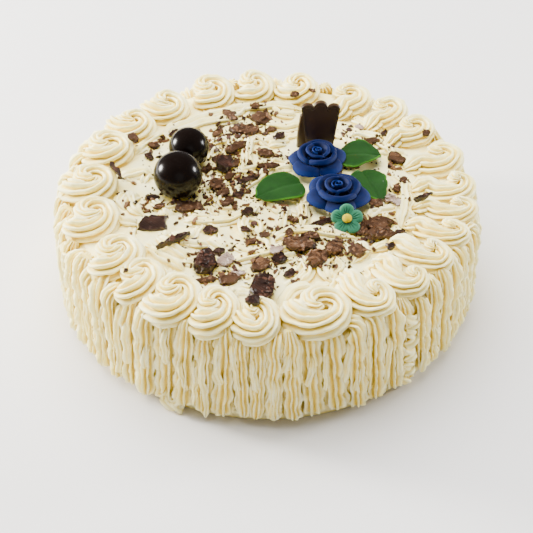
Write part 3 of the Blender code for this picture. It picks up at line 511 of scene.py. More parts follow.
def rosettePath(spec, look, draw):
    angle, ring, out, around, height, eye = spec
    turn = math.radians(angle)
    outward = Vector((math.cos(turn), math.sin(turn), 0))
    along = Vector((-math.sin(turn), math.cos(turn), 0))
    rope = min(look["rope"], look["ropeShare"] * around)
    middle = outward * (ring + look["outwards"] + draw.uniform(-0.6, 0.4))
    turns = look["turns"] + draw.uniform(-0.1, 0.1)
    if look["startAngle"] is None:
        start = math.pi + draw.uniform(0.1, 0.5)
    else:
        start = math.radians(look["startAngle"] + draw.uniform(-1, 1) * look["startSpread"]) - turn
    low = topHeight + look["sink"] * rope
    peak = topHeight + height + 0.6 - look["tipShare"] * rope
    dense = []
    for i in range(8 if look["tail"] else 0):
        t = i / 8
        dense.append(middle + outward * ((out - rope) * math.cos(start) - look["tail"] * (1 - t))
                     + along * (around - rope) * math.sin(start) * (0.4 + 0.6 * t)
                     + upward * (low - 2 * (1 - t)))
    count = 160
    for i in range(count):
        walked = turns * i / (count - 1)
        left = max(0, (walked - look["fullTurns"]) / (turns - look["fullTurns"]))
        spread = 1 - left ** 1.05
        theta = start + 2 * math.pi * walked
        across = (out - rope) * spread * math.cos(theta) + eye * (1 - spread)
        side = (around - rope) * spread * math.sin(theta)
        rise = max(0, (walked - 0.3) / (turns - 0.3)) ** 1.1
        dense.append(middle + outward * across + along * side + upward * (low + (peak - low) * rise))
    spots = evenLine(dense, look["step"])
    sizes, faces = [], []
    last = len(spots) - 1
    for i in range(last + 1):
        t = i / last
        size = rope * (1 - (1 - look["tipShare"]) * t ** 1.7) * (1 + 0.07 * math.sin(8 * t + angle))
        size *= min(1, 0.4 + 7 * t)
        sizes.append(size * (0.2, 0.6, 0.85, 1)[min(last - i, 3)])
        ahead = (spots[min(i + 1, last)] - spots[max(i - 1, 0)]).normalized()
        roll = math.radians(look["twist"]) * t + angle
        faces.append(upward * math.cos(roll) + ahead.cross(upward).normalized() * math.sin(roll))
    return spots, sizes, faces


strands = {
    "count": 70, "pieces": 3, "widthSpread": 0.22, "wall": 125.6, "wallSpread": 1.5, "swell": 1.16,
    "flare": 1.0, "step": 1.3, "top": 66.0, "topSpread": 2.6, "foot": 4.4, "lowest": 0.9, "lean": 2.0,
    "wave": 0.4, "hooked": 0.7, "arcRadius": 128, "thickest": 6.2, "foldWidth": 2.4, "foldInset": 2.2,
    "hookedTop": ((-9, -5), (-5.5, 0.5), (-1.2, -0.5), (0.3, -8)),  # out from the wall and up from the top
    "plainTop": ((-3, 5.0), (-1.0, 0), (0, -9)),
    "ridges": 10, "ridgeDepth": 0.66, "crest": 1.8, "pointsRound": 60, "waver": 1.4, "waverLength": 11,
    "ragged": 2.0, "raggedLength": 1.5, "seed": 8.0, "foldAngle": -49.5,
}


def onWall(angle, r, z):
    return Vector((r * math.cos(angle), r * math.sin(angle), z))


def fromFold(angle):  # degrees between a place and the pass that was folded to and fro
    return abs((math.degrees(angle) - strands["foldAngle"] + 180) % 360 - 180)


def strandPaths(draw):
    look = strands
    widths = [1 + draw.uniform(-1, 1) * look["widthSpread"] for _ in range(look["count"])]
    unit = 2 * math.pi / sum(widths)
    made = []
    start, lean = 0.0, 0.0
    for width in widths:
        angle = start + 0.5 * width * unit
        start += width * unit
        lean = 0.6 * lean + draw.uniform(-1, 1) * look["lean"]
        rope = 0.5 * unit * width * look["arcRadius"] * look["swell"]
        wall = look["wall"] + draw.uniform(-1, 0.6) * look["wallSpread"] + look["thickest"] - rope
        top = look["top"] + draw.uniform(-1, 0.6) * look["topSpread"]
        phase, pace = draw.uniform(0, 6.3), draw.uniform(0.07, 0.2)
        wave = look["wave"] * draw.uniform(0.2, 1.4)
        roll = draw.uniform(0, 6.3)
        bend = look["hookedTop" if draw.random() < look["hooked"] else "plainTop"]
        profile = [(wall + out, top + up) for out, up in bend]
        foot = look["foot"] + draw.uniform(-0.6, 1.6)
        profile += [(wall, 34), (wall + 0.5 * look["flare"], 14), (wall + look["flare"], foot)]
        line = smoothLine([(r, z, 0) for r, z in profile], look["step"])
        spots, sizes, faces = [], [], []
        last = len(line) - 1
        inset = look["foldInset"] if fromFold(angle) < look["foldWidth"] else 0
        for i, (r, z, _) in enumerate(line):
            low = i / last
            sway = lean * (0.5 - low) * 2 + wave * math.sin(phase + pace * z * 2 + 0.4 * math.sin(z * 0.33))
            size = rope * (1 + 0.10 * math.sin(phase * 2 + z * 0.45)) * min(1, 0.55 + 3 * low)
            end = last - i
            size *= (0.25, 0.66, 0.88, 0.97)[end] if end < 4 else 1
            outward = onWall(angle + sway / look["arcRadius"], 1, 0)
            height = max(z - (1.0 if end == 0 else 0), look["lowest"])
            spots.append(outward * (r - inset) + upward * height)
            sizes.append(size)
            faces.append(outward * math.cos(roll) + Vector((-outward.y, outward.x, 0)) * math.sin(roll))
        made.append((spots, sizes, faces))
    return made


blades = {
    "count": 92, "ring": 129.4, "thin": 1.7, "thick": 3.0, "shortest": 14, "longest": 58, "lean": 4.5,
    "lowest": 3.5, "highest": 66, "highSpread": 36, "step": 1.5, "foldClear": 3.5, "arcRadius": 129,
    "beads": 9, "beadRing": 127.6, "beadLow": 6.5, "beadRise": 6.2, "beadLength": 10.5, "beadSize": 3.5,
    "beadLean": 0.9, "beadTilt": 0.45, "bulge": 2.5, "dabStep": 1.3, "clumpRing": 128.2, "clumpLowest": 4,
    "clumpLengths": (7, 13), "clumpSizes": (2.4, 4.0),
    "clumps": (  # angle, height, spread, how many: where the hand slipped and the cream piled up
        (-158, 56, 7, 9), (-168, 50, 5, 5), (-116, 7, 5, 7), (-140, 40, 5, 3), (40, 50, 6, 4),
        (110, 20, 6, 4),
    ),
    "ridges": 4, "ridgeDepth": 0.55, "crest": 1.5, "pointsRound": 20, "waver": 1.2, "waverLength": 9,
    "ragged": 1.7, "raggedLength": 1.4, "seed": 12.0,
}


def shortRope(centre, way, length, size, draw):  # a dab of cream, thick in the middle
    outward = Vector((centre.x, centre.y, 0)).normalized()
    roll = draw.uniform(0, 6.3)
    spots, sizes, faces = [], [], []
    count = max(5, round(length / blades["dabStep"]))
    side = outward.cross(way).normalized()
    for i in range(count + 1):
        t = 2 * i / count - 1
        along = way * 0.5 * length * t - outward * blades["bulge"] * t * t
        spots.append(centre + along + side * 0.8 * math.sin(2.5 * t + roll))
        sizes.append(size * max(0.2, (1 - t ** 4) ** 0.6))
        faces.append(outward * math.cos(roll) + side * math.sin(roll))
    return spots, sizes, faces


def bladePaths(draw):
    look = blades
    made = []
    for number in range(look["count"]):
        angle = 2 * math.pi * (number + draw.uniform(-0.4, 0.4)) / look["count"]
        if fromFold(angle) < look["foldClear"]:
            continue
        size = draw.uniform(look["thin"], look["thick"])
        high = look["highest"] - draw.random() ** 1.6 * look["highSpread"]
        low = max(look["lowest"], high - draw.uniform(look["shortest"], look["longest"]))
        lean, phase = draw.uniform(-1, 1) * look["lean"], draw.uniform(0, 6.3)
        count = max(6, round((high - low) / look["step"]))
        spots, sizes, faces = [], [], []
        for i in range(count + 1):
            t = i / count
            z = high + (low - high) * t
            sway = lean * (t - 0.5) + 0.7 * math.sin(phase + z * 0.12) + 0.25 * math.sin(z * 0.5 + phase * 3)
            sink = 4.0 * max(0, 1 - t * count / 4) ** 2 + 1.2 * max(0, t - 0.8) * 5 * (low > 10)
            there = angle + sway / look["arcRadius"]
            spots.append(onWall(there, look["ring"] + 0.5 * math.sin(z * 0.2 + phase) - sink, z))
            sizes.append(size * min(1, 0.35 + 2.2 * t * count / 6) * min(1, 0.3 + 0.35 * (count - i)))
            faces.append(onWall(there, 1, 0))
        made.append((spots, sizes, faces))
    middle = math.radians(strands["foldAngle"])
    for number in range(look["beads"]):  # one pass was folded to and fro on its way down
        lean = 1 if number % 2 else -1
        there = middle + lean * look["beadLean"] / strands["arcRadius"]
        along = Vector((-math.sin(there), math.cos(there), 0))
        spot = onWall(there, look["beadRing"], look["beadLow"] + number * look["beadRise"])
        way = (along + upward * look["beadTilt"] * lean).normalized()
        made.append(shortRope(spot, way, look["beadLength"], look["beadSize"], draw))
    for angle, height, spread, count in look["clumps"]:
        for _ in range(count):
            there = math.radians(angle) + draw.uniform(-1, 1) * spread / strands["arcRadius"]
            along = Vector((-math.sin(there), math.cos(there), 0))
            way = (along * draw.uniform(-1, 1) + upward * draw.uniform(0.1, 1)).normalized()
            rise = max(look["clumpLowest"], height + draw.uniform(-1, 1) * spread)
            length, size = draw.uniform(*look["clumpLengths"]), draw.uniform(*look["clumpSizes"])
            made.append(shortRope(onWall(there, look["clumpRing"], rise), way, length, size, draw))
    return made


strokes = {
    "layout": (  # width, height and the places it passes
        (11, 4.5, ((-72, 58), (-50, 75), (-22, 88), (8, 92), (30, 86))),
        (10, 4.0, ((-62, 62), (-40, 75), (-16, 79))), (10, 4.0, ((-85, 40), (-76, 54), (-66, 64))),
        (11, 4.5, ((-92, 16), (-79, 21), (-72, 17))), (10, 4.5, ((-85, 2), (-82, -12), (-75, -21))),
        (9, 3.5, ((-71, -8), (-62, -14), (-52, -11))), (9, 4.5, ((-12, 58), (-13, 38), (-12, 20))),
        (9, 3.5, ((-3, 56), (8, 54), (15, 58))), (10, 4.0, ((-2, 74), (12, 69), (24, 74))),
        (9, 4.0, ((4, 32), (-6, 14), (-17, 4))), (11, 4.5, ((-53, -24), (-36, -28), (-18, -23), (-8, -12))),
        (10, 4.5, ((-6, -12), (-14, -28), (-11, -44))), (9, 5.0, ((11, -14), (10, -24), (8, -36))),
        (9, 5.0, ((21, -12), (22, -22), (20, -33))), (11, 4.5, ((0, -46), (18, -35), (38, -40), (54, -42))),
        (11, 4.5, ((-22, -63), (-4, -58), (14, -50), (30, -43))),
        (9, 4.0, ((-58, -38), (-46, -47), (-33, -49))), (9, 4.0, ((62, -18), (72, -16), (80, -12))),
        (10, 5.0, ((85, 14), (84, -8), (80, -33))), (10, 4.5, ((77, -30), (75, -44), (60, -55))),
        (10, 4.5, ((20, -60), (24, -73), (17, -84))), (9, 4.0, ((53, -46), (57, -55), (49, -65))),
        (10, 4.0, ((66, 60), (76, 48), (83, 34))), (9, 4.0, ((56, 80), (66, 70), (72, 62))),
        (12, 4.0, ((-70, -50), (-60, -62), (-46, -72))), (12, 3.5, ((-66, -40), (-55, -52), (-44, -62))),
        (12, 5.5, ((9, -103), (14, -92), (28, -86))), (12, 4.0, ((36, -62), (32, -72), (38, -82))),
    ),
    "fill": 150, "fillReach": 97, "fillTurn": (0.6, 2.4), "fillBend": (-1.2, 1.2), "fillLength": (5, 13),
    "fillWidth": (8, 13), "fillHeight": (1.8, 3.6), "step": 1.5, "clear": 0.5, "clearEdge": 2.0,
    "ridges": 8, "ridgeDepth": 0.52, "crest": 1.1, "pointsRound": 30, "waver": 3.4, "waverLength": 10,
    "ragged": 1.4, "raggedLength": 1.8, "seed": 5.0,
}


def trimBoxes():  # where trimmings lie, and how high the cream may come under them
    boxes = []
    for name, made in frame["nodes"].items():
        if name == "cake":
            continue
        spots = [made.matrix_world @ v.co / mm for v in made.data.vertices]
        boxes.append((min(p.x for p in spots), max(p.x for p in spots), min(p.y for p in spots),
                      max(p.y for p in spots), min(p.z for p in spots)))
    return boxes


def strokePaths(draw):
    look = strokes
    layout = [(width, height, corners, False) for width, height, corners in look["layout"]]
    for number in range(look["fill"]):  # choppy passes between the named ones, so that no bare flat is left
        reach, theta = look["fillReach"] * math.sqrt(draw.random()), draw.uniform(0, 2 * math.pi)
        here = Vector((reach * math.cos(theta), reach * math.sin(theta)))
        way, bend = theta + draw.uniform(*look["fillTurn"]), draw.uniform(*look["fillBend"])
        length = draw.uniform(*look["fillLength"])
        ahead = Vector((math.cos(way), math.sin(way)))
        turned = Vector((math.cos(way + bend), math.sin(way + bend)))
        corners = (tuple(here - ahead * length), tuple(here), tuple(here + turned * length))
        width, height = draw.uniform(*look["fillWidth"]), draw.uniform(*look["fillHeight"])
        layout.append((width, height, corners, True))
    boxes, edge = trimBoxes(), look["clearEdge"]
    made = []
    for width, height, corners, filler in layout:
        rope = 0.5 * width
        line = smoothLine([(x, y, 0) for x, y in corners], look["step"])
        spots, sizes, faces = [], [], []
        last = len(line) - 1
        roll = draw.uniform(0, 6.3)
        for i, spot in enumerate(line):
            t = i / last
            size = rope * min(1, 0.3 + 5 * t) * min(1, 0.12 + 4.5 * (1 - t))
            top = topHeight + height + 0.6 * math.sin(3 * t + width)
            for left, right, front, back, low in boxes if filler else ():
                if left - edge < spot.x < right + edge and front - edge < spot.y < back + edge:
                    top = min(top, low + look["clear"])
            sizes.append(size)
            spots.append(Vector((spot.x, spot.y, top - rope)))
            ahead = (line[min(i + 1, last)] - line[max(i - 1, 0)]).normalized()
            faces.append(upward * math.cos(roll) + ahead.cross(upward).normalized() * math.sin(roll))
        made.append((spots, sizes, faces))
    return made


core = {
    "around": 160, "rings": 40, "flat": 112, "dip": 1.2, "dipLength": 12,
    "side": ((117, 68.0), (120.5, 65.5), (122.4, 61), (122.6, 48), (122.6, 32), (122.6, 16), (123.4, 4),
             (123.6, 0.5), (123.2, 0.0)),
}


def makeCore(cream):
    # what the ropes are piped on: smooth wall, spread top, flat foot
    rings = core["rings"]
    profile = [(core["flat"] * (i + 1) / rings, topHeight) for i in range(rings)] + list(core["side"])
    points = [(0, 0, topHeight)]
    count = core["around"]
    for r, z in profile:
        for i in range(count):
            theta = 2 * math.pi * i / count
            x, y = r * math.cos(theta), r * math.sin(theta)
            dip = core["dip"] * noise.noise(Vector((x, y, 4)) / core["dipLength"]) if z == topHeight else 0
            points.append((x, y, z + min(dip, 0.25)))
    faces = [(0, 1 + i, 1 + (i + 1) % count) for i in range(count)] + ringFaces(1, count, len(profile))
    faces.append(tuple(reversed(range(len(points) - count, len(points)))))
    # the core carries a little of the painted groove shade all over
    mesh = meshFrom("cream_core", points, faces, [("groove", [0.4] * len(points))])
    mesh.materials.append(cream)
    return dress(link("cream_core", mesh), "whipped_cream", "cake")


def treeOf(objects):  # one search tree over all the cream
    points, faces = [], []
    for made in objects:
        mesh = made.data
        first = len(points)
        flat = np.empty(len(mesh.vertices) * 3)
        mesh.vertices.foreach_get("co", flat)
        points += [tuple(p) for p in flat.reshape(-1, 3).tolist()]
        faces += [tuple(first + v for v in polygon.vertices) for polygon in mesh.polygons]
    return BVHTree.FromPolygons(points, faces)


def heightAt(tree, x, y):  # x and y in mm, the answer too
    hit = tree.ray_cast(Vector((x * mm, y * mm, 1)), Vector((0, 0, -1)))
    return hit[0].z / mm if hit[0] else topHeight


# Chocolate balls

balls = {
    "places": (("ball_front", (-54.4, 1.3, 83.0), 15.0), ("ball_back", (-49.0, 31.2, 82.0), 12.6)),
    "around": 96, "rings": 48, "uneven": 0.12, "unevenLength": 7,
}


def makeBalls(material):
    for name, place, radius in balls["places"]:
        work = bmesh.new()
        bmesh.ops.create_uvsphere(
            work, u_segments=balls["around"], v_segments=balls["rings"], radius=radius * mm)
        for v in work.verts:
            way = v.co.normalized()
            swell = balls["uneven"] * noise.noise(way * radius / balls["unevenLength"] + Vector(place))
            v.co = (Vector(place) + way * (radius + swell)) * mm
        for face in work.faces:
            face.smooth = True
        mesh = bpy.data.meshes.new(name + "_shell")
        work.to_mesh(mesh)
        work.free()
        mesh.materials.append(material)
        dress(link(name + "_shell", mesh), "ball_chocolate", name)


# Sheets of sugar paste: petals and leaves

def pasteSheet(points, columns, thick, rimHighlights):  # rows of points; both faces, closed by a rounded edge
    rows = len(points) // columns
    grid = np.array([tuple(p) for p in points]).reshape(rows, columns, 3)
    normals = np.cross(np.gradient(grid, axis=1), np.gradient(grid, axis=0))
    normals = normals / np.maximum(np.linalg.norm(normals, axis=2, keepdims=True), 1e-9)
    border = [(0, c) for c in range(columns)] + [(r, columns - 1) for r in range(1, rows)]
    border += [(rows - 1, c) for c in range(columns - 2, -1, -1)] + [(r, 0) for r in range(rows - 2, 0, -1)]
    inset = np.ones((rows, columns, 1))
    for r, c in border:
        inset[r, c] = 0.55
    front = (grid + normals * thick * 0.5 * inset).reshape(-1, 3)
    back = (grid - normals * thick * 0.5 * inset).reshape(-1, 3)
    count = rows * columns
    faces = []
    for r in range(rows - 1):
        for c in range(columns - 1):
            a = r * columns + c
            faces.append((a, a + columns, a + columns + 1, a + 1))
            faces.append((count + a, count + a + 1, count + a + columns + 1, count + a + columns))
    for i, (r, c) in enumerate(border):
        rNext, cNext = border[(i + 1) % len(border)]
        a, b = r * columns + c, rNext * columns + cNext
        faces.append((a, b, count + b, count + a))
    return front.tolist() + back.tolist(), faces, list(rimHighlights) + list(rimHighlights)


def joinSheets(name, sheets, material, levels, creases=None):
    points, faces, rimHighlights = [], [], []
    for spots, polygons, edge in sheets:
        first = len(points)
        points += spots
        rimHighlights += edge
        faces += [tuple(first + v for v in polygon) for polygon in polygons]
    mesh = meshFrom(name, points, faces, [("rim", rimHighlights), ("crease", creases or [0.0] * len(points))])
    mesh.materials.append(material)
    made = link(name, mesh)
    soften = made.modifiers.new("soften", "SUBSURF")
    soften.levels = levels
    soften.render_levels = levels
    return made


roses = {
    "places": (("rose_back", 31.5, 26.8, 16.9, 20), ("rose_front", 42.8, -7.6, 18.2, -16)),
    "base": 69.35, "rows": 11, "columns": 17,
    # petals, turn, inner and outer share, low, high, half spread, roll, where it starts, point, thickness
    "layers": (
        (5, 0, 0.34, 1.02, 3.0, 9.6, 47, 4.2, 0.5, 0.2, 1.1),
        (3, 35, 0.42, 0.74, 3.5, 13.2, 72, 2.6, 0.6, 0.08, 1.3),
        (2, 10, 0.26, 0.45, 6.0, 14.6, 105, 1.2, 0.7, 0.0, 1.2),
    ),
    "bud": {"turns": 1.7, "outer": 0.24, "low": 7.5, "high": 15.2},
}


def makeRoses(material):
    rows, columns = roses["rows"], roses["columns"]
    for name, x, y, radius, turn in roses["places"]:
        middle = Vector((x, y, roses["base"]))
        sheets = []
        for layer, values in enumerate(roses["layers"]):
            count, offset, inner, outer, low, high, spread, roll, rollFrom, point, thick = values
            for number in range(count):
                step = turn + offset + number * 360 / count + 7 * math.sin(3.1 * number + turn)
                scale = 1 + 0.04 * math.sin(2.3 * number + turn)
                spots, rimHighlights = [], []
                for row in range(rows):
                    t = row / (rows - 1)
                    for column in range(columns):
                        s = 2 * column / (columns - 1) - 1
                        theta = math.radians(step) + math.radians(spread) * s * (0.7 + 0.3 * t)
                        reach = inner + (outer * scale - inner) * t ** 1.15
                        reach *= 1 + point * t * t * (0.5 - 1.25 * abs(s) ** 1.3) - 0.05 * t * s ** 4
                        reach += 0.035 * s * (1 - 0.3 * t)  # one side of a petal lies under its neighbour
                        z = low + (high - low) * math.sin(min(1, t * 1.25) * math.pi * 0.5) ** 0.9
                        z -= roll * (max(0, t - rollFrom) / (1 - rollFrom)) ** 2
                        z -= 0.16 * (high - low) * t * abs(s) ** 2.6
                        z += 0.5 * t * noise.noise(Vector((theta * 2, layer * 3.1, turn)))
                        spots.append(middle + Vector((
                            radius * reach * math.cos(theta), radius * reach * math.sin(theta), z)))
                        # painted highlight towards the petal rim
                        rimHighlights.append(min(1, max(0, t - 0.78) * 4))
                sheets.append(pasteSheet(spots, columns, thick, rimHighlights))
        bud = roses["bud"]
        spots, rimHighlights = [], []
        wide = 44
        for row in range(6):
            t = row / 5
            for column in range(wide):
                s = column / (wide - 1)
                theta = math.radians(turn) + 2 * math.pi * bud["turns"] * s
                reach = radius * bud["outer"] * (0.14 + 0.86 * s) * (1.1 - 0.2 * t)
                z = bud["low"] + (bud["high"] - bud["low"]) * t
                z += -0.8 * t * s + 0.4 * t * math.sin(theta * 1.5)
                spots.append(middle + Vector((reach * math.cos(theta), reach * math.sin(theta), z)))
                # painted highlight towards the rim of the bud
                rimHighlights.append(min(1, max(0, t - 0.75) * 4))
        sheets.append(pasteSheet(spots, wide, 0.8, rimHighlights))
        heart, sides = [], 20  # solid middle that the petals are pressed on
        for r, z in ((0.60, 0.0), (0.62, 2.5), (0.40, 6.5), (0.24, 9.5), (0.05, 11.5)):
            for i in range(sides + 1):
                theta = 2 * math.pi * i / sides
                heart.append(middle + Vector((radius * r * math.cos(theta), radius * r * math.sin(theta), z)))
        faces = []
        for row in range(4):
            for i in range(sides):
                a = row * (sides + 1) + i
                faces.append((a, a + 1, a + sides + 2, a + sides + 1))
        faces.append(tuple(range(sides, -1, -1)))
        faces.append(tuple(range(4 * (sides + 1), 5 * (sides + 1))))
        sheets.append(([tuple(p) for p in heart], faces, [0.0] * len(heart)))
        dress(joinSheets(name + "_petals", sheets, material, 1), "blue_marzipan", name)


leaves = {
    "places": (  # node, base, tip, half width, base height, tip height, edge wave, notches, notch depth
        ("leaf_left", (21, 9), (-7, -6), 15.5, 70.2, 70.6, 0.9, 0, 0.0),
        ("leaf_back_right", (45, 37), (72, 32), 14.5, 70.2, 73.4, 1.1, 3, 0.06),
        ("leaf_right", (59, 21), (69, -10), 12.0, 70.2, 70.6, 0.8, 4, 0.07),
    ),
    "thick": 1.3, "curl": 0.8, "rise": 1.6, "rows": 36, "columns": 23, "vein": 0.5,
}


def makeLeaves(material):
    rows, columns = leaves["rows"], leaves["columns"]
    for name, base, tip, half, low, high, wave, notches, notch in leaves["places"]:
        start, end = Vector((*base, 0)), Vector((*tip, 0))
        length = (end - start).length
        ahead = (end - start).normalized()
        across = Vector((-ahead.y, ahead.x, 0))
        spots, rimHighlights = [], []
        for row in range(rows):
            t = row / (rows - 1)
            belly = math.sin(math.pi * min(1, t ** 0.72)) if row < rows - 1 else 0
            width = half * (0.16 + 0.84 * max(0, belly) ** 0.75) * (1 - 0.10 * t)
            width *= 1 - notch * abs(math.sin(math.pi * (notches * t + 0.5))) ** 6 if notches else 1
            if row >= rows - 3:
                width = (2.6, 1.5, 0.5)[row - rows + 3]
            z = low + (high - low) * t + leaves["rise"] * math.sin(math.pi * t) + 0.5 * leaves["thick"]
            for column in range(columns):
                s = 2 * column / (columns - 1) - 1
                curl = leaves["curl"] * abs(s) - wave * s * s * math.sin(7 * t + 1.5 * s)
                vein = leaves["vein"] * math.exp(-(s * width / 1.1) ** 2)
                spots.append(start + ahead * length * t + across * width * s + upward * (z + curl - vein))
                # painted highlight along the leaf edges and over its base and tip
                rimHighlights.append(max(0, (abs(s) - 0.9) / 0.1) if 0 < row < rows - 1 else 0.7)
        dress(joinSheets(name + "_paste", [pasteSheet(spots, columns, leaves["thick"], rimHighlights)], material, 1),
              "green_marzipan", name)


flower = {
    "centre": (47.5, -32.5, 75.8), "radius": 9.9, "lean": 30, "around": 180,
    "rings": ((0.30, 0.35, -1.5), (0.42, 0.6, -1.4), (0.55, 0.9, -1.4), (0.72, 1.25, -1.2), (0.88, 1.2, -0.9),
              (0.97, 0.75, -0.5), (1.0, 0.2, -0.2)),
    "crease": 0.7, "eyeRadius": 3.0, "eyeLow": 1.2,
    "eyeRings": ((0.3, 1.88), (0.55, 1.7), (0.8, 1.3), (0.92, 1.0), (1.0, 0.45), (0.9, 0.0)),
}


def makeFlower(petalMaterial, eyeMaterial):
    look = flower
    tilt = Matrix.Translation(Vector(look["centre"])) @ Matrix.Rotation(math.radians(look["lean"]), 4, "X")
    count = look["around"]
    points, rimHighlights, creases = [(0, 0, 0.3), (0, 0, -1.6)], [0, 0], [0, 0]
    for spread, top, bottom in look["rings"]:
        for side in (top, bottom):
            for i in range(count):
                theta = 2 * math.pi * i / count
                lobe = abs(math.cos(2.5 * theta))
                reach = look["radius"] * spread * (1 - 0.30 * (1 - lobe ** 0.5) * min(1, spread * 1.4))
                z = side + (lobe - 0.7) * 0.9 * spread * (1 if side == top else 0.5)
                press = 0
                if side == top:  # three pressed creases run out from the middle of each petal
                    local = (math.degrees(theta) + 36) % 72 - 36
                    for middle in (-14, 0, 14):
                        fade = max(0, 1 - abs(spread - 0.5) / (0.26 if middle else 0.34))
                        press = max(press, fade * math.exp(-((local - middle) / 2.2) ** 2))
                points.append((reach * math.sin(theta), reach * math.cos(theta), z - look["crease"] * press))
                # painted highlight on the outer edge of each petal's top face
                rimHighlights.append(0.6 * max(0, spread - 0.85) * 6 if side == top else 0)
                # painted shade: the pressed creases are also darkened in colour
                creases.append(min(1, 1.5 * press))
    faces = []
    rings = len(look["rings"])
    for i in range(count):
        after = (i + 1) % count
        faces.append((0, 2 + after, 2 + i))
        faces.append((1, 2 + count + i, 2 + count + after))
        for ring in range(rings - 1):
            for side in (0, 1):
                a = 2 + (2 * ring + side) * count
                quad = (a + i, a + after, a + 2 * count + after, a + 2 * count + i)
                faces.append(quad if side == 0 else tuple(reversed(quad)))
        a = 2 + 2 * (rings - 1) * count
        faces.append((a + i, a + after, a + count + after, a + count + i))
    spots = [tuple(tilt @ Vector(p)) for p in points]
    dress(joinSheets("flower_petals", [(spots, faces, rimHighlights)], petalMaterial, 1, creases),
          "mint_sugar_paste", "flower")
    sides = 40
    points = [(0, 0, look["eyeLow"] + 1.9), (0, 0, look["eyeLow"])]
    for spread, z in look["eyeRings"]:
        for i in range(sides):
            theta = 2 * math.pi * i / sides
            reach = look["eyeRadius"] * spread
            points.append((reach * math.cos(theta), reach * math.sin(theta), look["eyeLow"] + z))
    faces, last = ringFaces(2, sides, len(look["eyeRings"])), len(points) - sides
    for i in range(sides):
        after = (i + 1) % sides
        faces += [(0, 2 + i, 2 + after), (1, last + after, last + i)]
    spots = [tuple(tilt @ Vector(p)) for p in points]
    dress(joinSheets("flower_button", [(spots, faces, [0.0] * len(points))], eyeMaterial, 1),
          "yellow_sugar_paste", "flower_eye")


plaque = {
    "centre": (33.6, 47.4), "height": 42.5, "thick": 3.0, "sink": 4.0, "halfLow": 7.6, "lobe": 4.3,
    "lobeStep": 8.2, "middleLift": 2.0, "rim": 1.1, "recess": 0.5, "edge": 0.45, "arc": 13,
}
backing = {
    "centre": (24.4, 51.6), "turn": 24, "sink": 3.0, "thick": 2.2, "edge": 0.4,
    "outline": ((-6.0, 0.0), (6.0, 0.0), (5.2, 14.0), (4.0, 27.0), (0.0, 28.5), (-3.6, 27.0), (-5.4, 14.0)),
}


def plaqueOutline(inset):
    low, shoulder = plaque["halfLow"] - inset, 0.8 * plaque["height"]
    lobe, outline = plaque["lobe"] - inset, [(-low, inset), (low, inset)]
    for middle, lift in ((1, 0), (0, plaque["middleLift"]), (-1, 0)):
        for i in range(plaque["arc"]):
            theta = math.pi * (0.12 + 0.76 * i / (plaque["arc"] - 1))
            outline.append((middle * plaque["lobeStep"] + lobe * math.cos(theta),
                            shoulder + lift - 1.1 * inset + lobe * math.sin(theta)))
    return outline


def plate(name, layers, toWorld, edge, material, node):  # layers: outline and depth, front to back
    points = [toWorld(across, depth, up) for outline, depth in layers for across, up in outline]
    count = len(layers[0][0])
    faces = [tuple(range(count)), tuple(reversed(range((len(layers) - 1) * count, len(layers) * count)))]
    faces += ringFaces(0, count, len(layers))
    mesh = meshFrom(name, points, faces)
    mesh.materials.append(material)
    made = link(name, mesh)
    soft = made.modifiers.new("edge", "BEVEL")
    soft.width = edge * mm
    soft.segments = 3
    soft.limit_method = "ANGLE"
    soft.angle_limit = math.radians(35)
    mesh.set_sharp_from_angle(angle=math.radians(50))
    return dress(made, "plaque_chocolate", node)


def makePlaques(material):
    base = Vector((*plaque["centre"], topHeight - plaque["sink"]))
    half = plaque["thick"] / 2
    outer, inner = plaqueOutline(0), plaqueOutline(plaque["rim"])
    plate("plaque_rimmed", ((outer, half), (outer, -half), (inner, -half), (inner, -half + plaque["recess"])),
          lambda across, depth, up: base + Vector((across, depth, up)), plaque["edge"], material, "plaque")
    foot = Vector((*backing["centre"], topHeight - backing["sink"]))
    turn = Matrix.Rotation(math.radians(backing["turn"]), 3, "Z")
    half = backing["thick"] / 2
    plate("plaque_backing_plate", ((backing["outline"], -half), (backing["outline"], half)),
          lambda across, depth, up: foot + turn @ Vector((across, depth, up)), backing["edge"], material,
          "plaque_backing")


# Scraped chocolate: one tree lays small bits on a surface

def bitShapes(name, sizes, material, seed):  # angular bits with a few dozen faces each
    group = bpy.data.collections.new(name)
    draw = random.Random(seed)
    for number, (length, width, thick) in enumerate(sizes):
        corners = draw.choice((6, 7, 8))
        jag = [draw.uniform(0.5, 1.2) for _ in range(corners)]
        bend = draw.uniform(-0.25, 0.25) * length
        points = []
        for level, shrink in ((-0.5, 1.0), (0.5, 0.84)):
            for i in range(corners):
                theta = 2 * math.pi * (i + 0.25 * math.sin(7 * i + number)) / corners
                x, y = 0.5 * jag[i] * shrink * math.cos(theta), 0.5 * jag[i] * shrink * math.sin(theta)
                points.append((length * x, width * y, thick * level + bend * 4 * x * x))
        faces = [tuple(reversed(range(corners))), tuple(range(corners, 2 * corners))]
        faces += ringFaces(0, corners, 2)
        mesh = meshFrom("%s%d" % (name, number), points, faces, smooth=False)
        mesh.materials.append(material)
        group.objects.link(bpy.data.objects.new("%s%d" % (name, number), mesh))
    return group


def dropShapes(group):
    for bit in list(group.objects):
        bpy.data.objects.remove(bit, do_unlink=True)
    bpy.data.collections.remove(group)


plateSizes = ((7.0, 3.4, 0.5), (5.2, 3.4, 0.45), (8.5, 2.2, 0.6), (4.0, 2.8, 0.5), (6.0, 4.2, 0.45),
              (3.2, 2.2, 0.6), (8.8, 2.9, 0.5), (2.4, 2.0, 0.7))
crumbSizes = ((2.6, 1.1, 0.8), (1.8, 1.5, 1.0), (1.3, 1.1, 0.9), (2.4, 1.8, 0.7), (1.9, 0.8, 0.7),
              (1.0, 0.9, 0.8), (1.5, 1.3, 0.7), (3.2, 0.8, 0.6))


